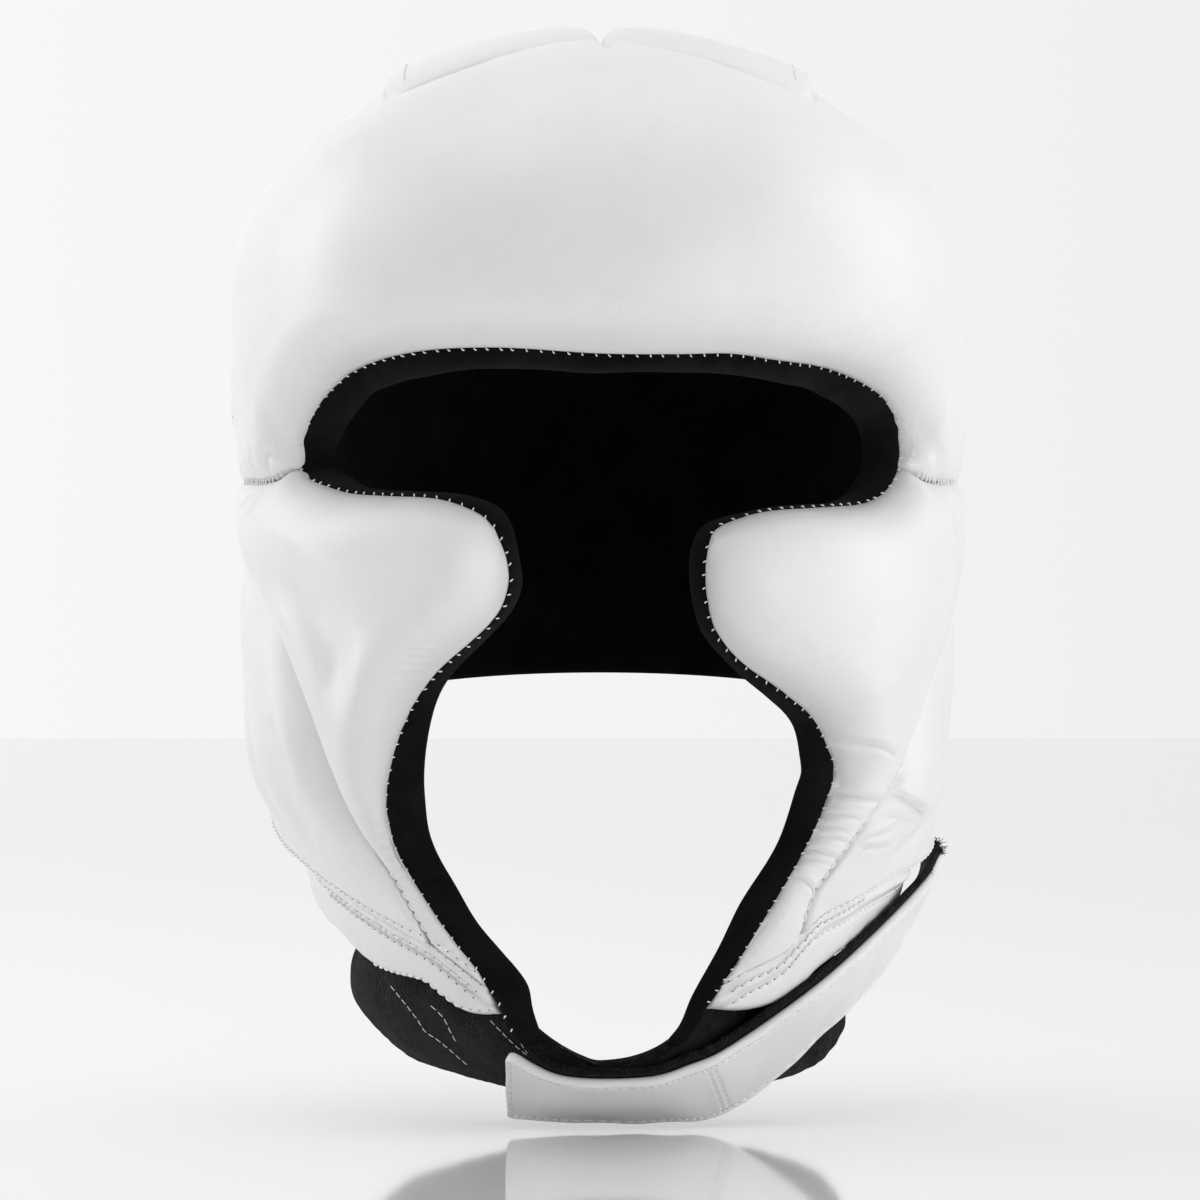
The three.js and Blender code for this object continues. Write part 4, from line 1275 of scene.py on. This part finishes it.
def seam_stitches(side):
    """The rows along the hem and up the crease, and on the right one along the flap's edge."""
    parts = ("side_panel", "cheek_pad", "jaw_flap")
    tree = tree_of(*(f"leather_{part}_{side.name}" for part in parts))
    rows = []

    def sew(table, step, places, start, end, thread):
        line = form_row(laid(side, table), side.sign * step, places, start, end)
        rows.append(row_on(tree, *line, **thread))

    for step, start in side.hem_rows:
        sew(side.hem, -step, 500, start, 0.985, HEM_THREAD)
    if side is RIGHT:
        sew(side.flap_edge, FLAP_STEP, 400, FLAP_START, 0.985, FLAP_THREAD)
    sew(side.crease, CREASE_STEP, 300, side.crease_start, 0.98, CREASE_THREAD)
    join_rows(f"thread_hem_{side.name}", rows, THREAD)


def temple_stitches(side):
    """Threads pulled across the seam between the forehead pad and the cheek pad."""
    tree = tree_of("leather_forehead_pad", f"leather_cheek_pad_{side.name}")
    seam = laid(side, TEMPLE_SEAM)
    places = 200
    (above, outward), (below, _) = (
        form_row(seam, side.sign * step, places, 0.08, 0.66, 14) for step in (-1.0, 1.0)
    )
    random = np.random.default_rng(86)
    points, faces = [], []
    for i in range(6, places - 6, 13):
        away = Vector(outward[i]).normalized()
        ends = []
        for line in (above, below):
            j = min(max(i + int(random.uniform(-3, 3)), 0), places - 1)
            hit, _, _, _ = tree.ray_cast(Vector(line[j]) + away * 16, -away, 30)
            if hit is not None:
                ends.append(np.array(hit + 0.1 * away))
        if len(ends) == 2:
            capsule(*ends, np.array(away), 0.22, points, faces)
    join_rows(f"thread_temple_{side.name}", [(points, faces)], THREAD)


def crown_stitches(side):
    """A short row along the outer edge of the crown's middle lobe."""
    tree = tree_of(f"leather_crown_pad_{side.name}")
    x = side.sign * (CROWN_LOBE + 1.6)
    line = np.array([(x, y, 0.0) for y in np.linspace(-46, 8, 80)])
    outward = np.tile([0.0, -0.35, 1.0], (len(line), 1))
    rows = [row_on(tree, line, outward, **CROWN_THREAD)]
    join_rows(f"thread_crown_{side.name}", rows, THREAD)


# ---- sling and straps
# Rows are (middle y, rim y, half-width, belly at the right, belly at the left, bottom), from the
# front lip back.

SLING_SECTIONS = np.array([
    (-88, -84, 27.5, 0, 0, -267.8),
    (-82, -77, 34, 3, 0, -270.4),
    (-71, -67, 42.5, 7, 0, -273.3),
    (-53, -50, 54, 11, 0, -277.4),
    (-38, -37, 59.5, 15, 1, -278),
    (-22, -22, 61, 19, 15.5, -279.6),
], float)
SLING_RIM = -234.5
SLING_THICKNESS = 4.5
SLING_LENGTH = 74.0


def sling_power(u, v):
    """How square the sling's section is: a V at the right of its front lip, fuller behind."""
    left = smooth(u, 0.4, 0.6)
    behind = mix(2.25, 2.2 + 1.4 * smooth(v, 0.6, 1), left)
    return mix(mix(1.45, 2.0, left), behind, smooth(v, 0, 0.3))


def sling_point(u, v, inward):
    at = SLING_SECTIONS[:, 0]
    where = mix(at[0], at[-1], v)
    middle, rim_y, half, right, left, bottom = (
        through(at, column, where) for column in SLING_SECTIONS.T
    )
    angle = mix(-math.pi / 2, math.pi / 2, u)
    power = 2 / sling_power(u, v)
    level = np.maximum(np.cos(angle), 0)
    lean = np.sin(angle)
    slack = np.sqrt(level) * (right * np.maximum(-lean, 0) + left * np.maximum(lean, 0))
    sideways = np.sign(angle) * np.abs(lean) ** power
    x = (half + slack - inward) * sideways
    y = mix(middle, rim_y, lean ** 2)
    rim = SLING_RIM - mix(9, 12, smooth(u, 0.4, 0.7)) * (1 - smooth(v, 0, 0.4))
    z = rim - (rim - bottom - inward) * level ** power
    return np.stack([x, y, z], axis=-1)


def chin_sling():
    u, v = np.meshgrid(np.linspace(0, 1, 190), grid_lines(SLING_LENGTH, 1.1, 0.5, 4))
    middle = sling_point(u, v, SLING_THICKNESS / 2)
    from_lip = v * SLING_LENGTH
    thin = rolled(np.minimum(from_lip, (1 - v) * SLING_LENGTH), 1.6)
    lip_share = 1 - smooth(from_lip, 0, 7)
    thick = SLING_THICKNESS - 1.3 * lip_share
    slackness = smooth(0.5 - u, 0.0, 0.3)
    fuzz = 0.18 * lumps(middle, 9, 91) + 0.12 * lumps(middle, 3.2, 92)
    swell = (0.7 * lumps(middle, 24, 93) + 0.3 * lumps(middle, 12, 94)) * slackness
    outer = sling_point(u, v, thin - np.maximum(fuzz + swell, -1.2) * 0.8)
    inner = sling_point(u, v, thick - thin)
    obj = slab_piece("pile_chin_sling", outer, inner, PILE, "chin_sling")
    stretched_sheet(obj, middle, "side_panel_right", "side_panel_left", "chin_strap")


# Lines sewn through the sling's right side, seen from the front: (x, height).
SLING_SEAMS = (
    [(-56, -247.5), (-52, -252), (-48, -257), (-46.5, -259.5), (-42.5, -262), (-35, -268.5)],
    [(-45, -252), (-41.5, -255), (-39.5, -259), (-38, -262)],
    [(-29, -255), (-26, -258), (-22.5, -261.5), (-19, -264.5)],
    [(-25, -252.5), (-22.5, -257), (-20.5, -261.5), (-18.5, -264.5)],
)


def sling_stitches():
    tree = tree_of("pile_chin_sling")
    rows = []
    for marks in SLING_SEAMS:
        x, z = smooth_line(marks)
        line = np.stack([x, np.full_like(x, -100.0), z], axis=-1)
        toward = np.tile([0.0, -1.0, 0.0], (len(line), 1))
        rows.append(row_on(tree, line, toward, **SLING_THREAD))
    join_rows("thread_chin_sling", rows, THREAD)


# The chin strap's front and rear edges, from its stitched end to its cut end.
CHIN_FRONT = np.array([
    (-25, -88, -264), (-10, -91, -271), (12, -90, -271.5), (24, -87.5, -268.2), (35, -83, -263.5),
    (57, -67.5, -249.5), (75, -43, -236), (90.2, -14, -223.4), (95.2, 1, -216.8),
], float)
CHIN_REAR = np.array([
    (-25, -58, -283), (-10, -57, -284), (14, -56, -284.3), (29, -53, -283.4), (41, -49, -278),
    (64.5, -35, -258.5), (81.5, -8, -241.5), (92.3, 20, -223), (91.4, 33, -209.5),
], float)
CHIN_LENGTH = 178.0
CHIN_WIDTH = 34.0
CHIN_SEAMS = (0.425, 0.445)  # rows sewn across the strap, by share of its length
END_RADIUS = 3.2
SEWN_IN = 2.3  # how far in from both straps' edges their stitches run
STITCH = 3.1
HOOK = 2.0  # thickness of both hook layers
HOOK_START = 0.04


def spline(rows, t):
    """A smooth curve through points, read by share of its points."""
    at = np.arange(len(rows), dtype=float)
    return np.stack([through(at, rows[:, axis], t * (len(rows) - 1)) for axis in range(3)], axis=-1)


def chin_point(u, v, depth, reach=0.0):
    """A point on the chin strap's outside, u along it and v across, sunk by depth."""
    front, rear = spline(CHIN_FRONT, u), spline(CHIN_REAR, u)
    across = unit(rear - front)
    step = 0.004
    ahead, behind = (spline(CHIN_FRONT, np.clip(u + move, 0, 1)) for move in (step, -step))
    outward = unit(np.cross(across, unit(ahead - behind)))
    start = front - across * np.asarray(reach)[..., None]
    return mix(start, rear, v[..., None]) - outward * np.asarray(depth)[..., None]


def rounded_end(u, v):
    """Pulls the strap's stitched end in to round corners."""
    inset = rolled(u * CHIN_LENGTH, END_RADIUS) / CHIN_WIDTH
    return inset + v * (1 - 2 * inset)


def strap_near(u, v, length, width):
    """Distances on a strap to its long edges, and to the nearest edge or end."""
    edge = np.minimum(v, 1 - v) * width
    return edge, np.minimum(edge, np.minimum(u, 1 - u) * length)


def chin_sunk(u, v):
    """How far the leather lies below its even surface: its edges, its sewn lines, its fullness."""
    edge, near = strap_near(u, v, CHIN_LENGTH, CHIN_WIDTH)
    sunk = rolled(near, 1.0) + 0.3 * bell(near - SEWN_IN, 0.6)
    for line in CHIN_SEAMS:
        sunk += 0.5 * bell((u - line) * CHIN_LENGTH, 0.7) * smooth(edge, 1, 3)
    base = chin_point(u, v, np.zeros_like(u))
    sunk -= 0.22 * lumps(base, 17, 95) + 0.5 * np.sin(math.pi * v) ** 2
    return np.clip(sunk, -0.6, 1.1)


def chin_strap():
    u, v = np.meshgrid(grid_lines(CHIN_LENGTH, 0.9, 0.4, 4), grid_lines(CHIN_WIDTH, 1.0, 0.35, 3))
    _, near = strap_near(u, v, CHIN_LENGTH, CHIN_WIDTH)
    across = rounded_end(u, v)
    outer = chin_point(u, across, chin_sunk(u, v))
    inner = chin_point(u, across, STRAP - rolled(near, 0.8))
    slab_piece("leather_chin_strap", outer, inner, LEATHER, "chin_strap")


def fibre(start, way, bend, length, radius, points, faces):
    """A thin curl that leaves start along way and turns towards bend."""
    way = way / np.linalg.norm(way)
    bend = bend / np.linalg.norm(bend)
    side = np.cross(way, bend)
    side /= max(np.linalg.norm(side), 1e-6)
    centre = np.array(start, float)
    first = len(points)
    rings, sides = 6, 4
    for step in range(rings):
        turn = step / (rings - 1) * 1.9
        heading = way * math.cos(turn) + bend * math.sin(turn)
        up = np.cross(heading, side)
        up /= np.linalg.norm(up)
        thin = radius * (1 - 0.4 * step / (rings - 1))
        points += ring(centre, thin, side, up, sides)
        centre = centre + heading * length / (rings - 1)
    skin(faces, first, rings, sides)


EDGE_FIBRES, END_FIBRES = 420, 110


def chin_hook():
    """The hook layer under the chin strap, with loose fibres at its edge and at the cut end."""
    u, v = np.meshgrid(np.linspace(HOOK_START, 1.0, 190), np.linspace(0, 1, 36))
    edge = np.minimum(v, 1 - v) * CHIN_WIDTH
    base = chin_point(u, v, np.zeros_like(u))
    reach = 3.4 - 2.6 * smooth(u, 0.9, 1.0) + 0.45 * lumps(base, 5, 96) * np.exp(-edge / 2)
    thin = rolled(edge, 0.6)
    outer = chin_point(u, v, STRAP + 0.1 + thin, reach)
    inner = chin_point(u, v, STRAP + HOOK - thin, reach)
    points, faces = closed_slab(outer, inner)
    points = list(points)
    random = np.random.default_rng(98)

    def stray(u, v, depth, reach, way, length, radius):
        """A loose fibre. Its way is along the strap, across it and out of it."""
        def at(u, depth):
            return chin_point(np.array([u]), np.array([v]), np.array([depth]), reach)[0]

        start = at(u, depth)
        out = start - at(u, depth + 1)
        run = at(min(u + 0.01, 1.0), depth) - at(u - 0.01, depth)
        along = run / max(np.linalg.norm(run), 1e-6)
        over = np.cross(along, out)
        heading = way[0] * along + way[1] * over + way[2] * out + 0.45 * random.normal(size=3)
        fibre(start, heading, random.normal(size=3), length, radius, points, faces)

    for _ in range(EDGE_FIBRES):
        u = random.uniform(HOOK_START, 0.93)
        depth = random.uniform(STRAP + 0.3, STRAP + HOOK - 0.3)
        stray(u, 0.0, depth, 3.2, (0, 1, 0.3), random.uniform(0.5, 1.3), 0.09)
    for _ in range(END_FIBRES):
        v = random.uniform(0.0, 0.25)
        depth = random.uniform(2.0, STRAP + HOOK)
        stray(0.996, v, depth, 0.8, (1, 0.2, 0.2), random.uniform(1.0, 3.2), 0.11)
    keep(new_object("hooks_chin_strap", points, faces, HOOKS), "chin_strap_hook")


def chin_stitches():
    """Rows just inside the strap's long edges and its end, and two across it."""
    points, faces = [], []

    def at(u, v, lift):
        u, v = np.array([u]), np.array([v])
        return chin_point(u, v, chin_sunk(u, v) - lift)[0]

    def row(start, end):
        """Stitches from one (u, v) on the strap to another."""
        du, dv = end[0] - start[0], end[1] - start[1]
        count = int(math.hypot(du * CHIN_LENGTH, dv * CHIN_WIDTH) / STITCH)
        for k in range(count):
            (a, b, hole) = (
                (start[0] + du * (k + share) / count, start[1] + dv * (k + share) / count)
                for share in (0.1, 0.9, 1.0)
            )
            up = at(*a, 1.0) - at(*a, 0.0)
            capsule(at(*a, 0.08), at(*b, 0.08), up, 0.28, points, faces)
            pierce(at(*hole, 0.0), up)

    inset = SEWN_IN / CHIN_WIDTH
    first = SEWN_IN / CHIN_LENGTH
    for v in (inset, 1 - inset):
        row((first, v), (0.985, v))
    for u in (first, *CHIN_SEAMS):
        row((u, inset), (u, 1 - inset))
    join_rows("thread_chin_strap", [(points, faces)], THREAD)


REAR_LENGTH = 310.0
REAR_WIDTH = 28.0


def rear_point(u, v, offset, margin=0.0):
    """A point on the rear strap, u from its free end to its sewn end and v down across it."""
    turn = mix(REAR_STRAP["free"], REAR_STRAP["sewn"], u)
    offset = offset - 0.9 * (1 - smooth(u, 0, 0.06))
    height = mix(REAR_STRAP["top"] - margin, REAR_STRAP["bottom"] + margin, v)
    return form(turn, fall_at(height), offset)


def rear_strap():
    u, v = np.meshgrid(grid_lines(REAR_LENGTH, 1.8, 0.5, 4), grid_lines(REAR_WIDTH, 1.3, 0.35, 3))
    _, near = strap_near(u, v, REAR_LENGTH, REAR_WIDTH)
    base = rear_point(u, v, REAR_STRAP["offset"])
    rise = STRAP - rolled(near, 1.15) - 0.35 * bell(near - SEWN_IN, 0.6)
    rise += 0.2 * lumps(base, 18, 97) * smooth(near, 1, 4)
    outer = rear_point(u, v, REAR_STRAP["offset"] + rise)
    inner = rear_point(u, v, REAR_STRAP["offset"] + rolled(near, 0.8))
    slab_piece("leather_rear_strap", outer, inner, LEATHER, "rear_strap")


def rear_hook():
    """The hook layer, which shows as a dark line round the rear strap's free end."""
    u, v = np.meshgrid(np.linspace(-0.006, REAR_STRAP["hooks"], 260), np.linspace(0, 1, 24))
    thin = rolled(np.minimum(v, 1 - v) * REAR_WIDTH, 0.6)
    lifted = (STRAP + 0.1) * (1 - smooth(u, -0.0035, -0.0015))
    outer = rear_point(u, v, REAR_STRAP["offset"] - 0.15 + lifted - thin, 0.6)
    inner = rear_point(u, v, REAR_STRAP["offset"] - HOOK + thin, 0.6)
    slab_piece("hooks_rear_strap", outer, inner, HOOKS, "rear_strap_hook")


def rear_stitches():
    """Rows along both edges, one at the free end and two at the sewn end."""
    tree = tree_of("leather_rear_strap")
    rows = []

    def row(u, v):
        u, v = np.broadcast_arrays(u, v)
        line = rear_point(u, v, REAR_STRAP["offset"])
        outward = rear_point(u, v, REAR_STRAP["offset"] + 5) - line
        rows.append(row_on(tree, line, outward, **REAR_THREAD))

    inset = SEWN_IN / REAR_WIDTH
    for v in (inset, 1 - inset):
        row(np.linspace(0.01, 0.99, 500), v)
    for u in (SEWN_IN / REAR_LENGTH, 1 - SEWN_IN / REAR_LENGTH, 1 - 9 / REAR_LENGTH):
        row(u, np.linspace(inset, 1 - inset, 60))
    join_rows("thread_rear_strap", rows, THREAD)


# ---- the headgear

add_pads()
add_linings()
face_roll()
chin_sling()
chin_strap()
chin_hook()
rear_strap()
rear_hook()
face_stitches()
for side in (RIGHT, LEFT):
    seam_stitches(side)
    temple_stitches(side)
    crown_stitches(side)
sling_stitches()
chin_stitches()
rear_stitches()
# The needle holes take the black suede's colour as painted shade.
join_rows("needle_hole_shades", [HOLE_SHADES], SUEDE)


# ---- camera, floor and light

CAMERA_DISTANCE = 1.7
CAMERA_HEIGHT = -0.145
SENSOR = 36  # millimetres
FRAME_WIDTH = 0.33  # what the picture takes in at the headgear, in metres
FLOOR = -0.2856
FLOOR_SIDE, FLOOR_NEAR, FLOOR_FAR = 4, -3, 4.57
LIT = (0, 0, -0.14)  # what the lamps point at


def add_camera():
    data = bpy.data.cameras.new("camera")
    data.sensor_width = SENSOR
    data.lens = SENSOR * CAMERA_DISTANCE / FRAME_WIDTH
    data.clip_start, data.clip_end = 0.05, 50
    camera = linked("camera", data)
    camera.location = (0, -CAMERA_DISTANCE, CAMERA_HEIGHT)
    camera.rotation_euler = (math.pi / 2, 0, 0)
    bpy.context.scene.camera = camera


def add_floor():
    corners = [(-FLOOR_SIDE, FLOOR_NEAR), (FLOOR_SIDE, FLOOR_NEAR)]
    corners += [(FLOOR_SIDE, FLOOR_FAR), (-FLOOR_SIDE, FLOOR_FAR)]
    mesh = bpy.data.meshes.new("table_top")
    mesh.from_pydata([(*corner, FLOOR) for corner in corners], [], [(0, 1, 2, 3)])
    mesh.materials.append(material("table_top", grey(0.86), 0.07, IOR=1.45))
    floor = linked("table_top", mesh)
    floor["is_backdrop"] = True


def add_lamp(name, place, size, power, target=LIT):
    data = bpy.data.lights.new(name, "AREA")
    data.shape = "RECTANGLE"
    data.size, data.size_y = size
    data.energy = power
    lamp = linked(name, data)
    lamp.location = place
    lamp.rotation_euler = (Vector(target) - Vector(place)).to_track_quat("-Z", "Y").to_euler()
    lamp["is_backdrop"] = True


def add_light():
    """Five lamps, and a world that is brighter behind the headgear and at the view's left."""
    world = bpy.data.worlds.new("studio")
    world.use_nodes = True
    bpy.context.scene.world = world
    n = Nodes(world, "Generated")
    way = n.add("ShaderNodeSeparateXYZ", {0: n.place}).outputs
    toward = n.ramp(way["Y"], -0.6, 0.9, 0.42, 0.94)
    sideways = n.ramp(way["X"], -0.12, 0.12, 1.0, 0.92)
    background = n.tree.nodes["Background"]
    n.feed(background.inputs["Strength"], n.math("MULTIPLY", toward, sideways))
    background.inputs["Color"].default_value = (1, 1, 1, 1)
    add_lamp("key", (1.3, -1.35, 0.1), (1.0, 1.0), 5.0)
    add_lamp("low_front", (0.5, -1.2, -0.24), (0.7, 0.2), 2.8, (0.03, 0, -0.27))
    add_lamp("left_side", (1.4, 0.1, 0.2), (0.8, 1.4), 6.5)
    add_lamp("right_side", (-1.4, 0.3, 0.35), (0.8, 1.4), 9.5)
    add_lamp("top", (-0.2, 0.0, 1.5), (1.4, 1.4), 7)


add_camera()
add_floor()
add_light()
scene = bpy.context.scene
scene.view_settings.view_transform = "Standard"
scene.view_settings.look = "None"


def corners(box):
    return [[float(x) for x in corner] for corner in box]


{"cad": corners(CAD_BOX), "made": corners(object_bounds())}
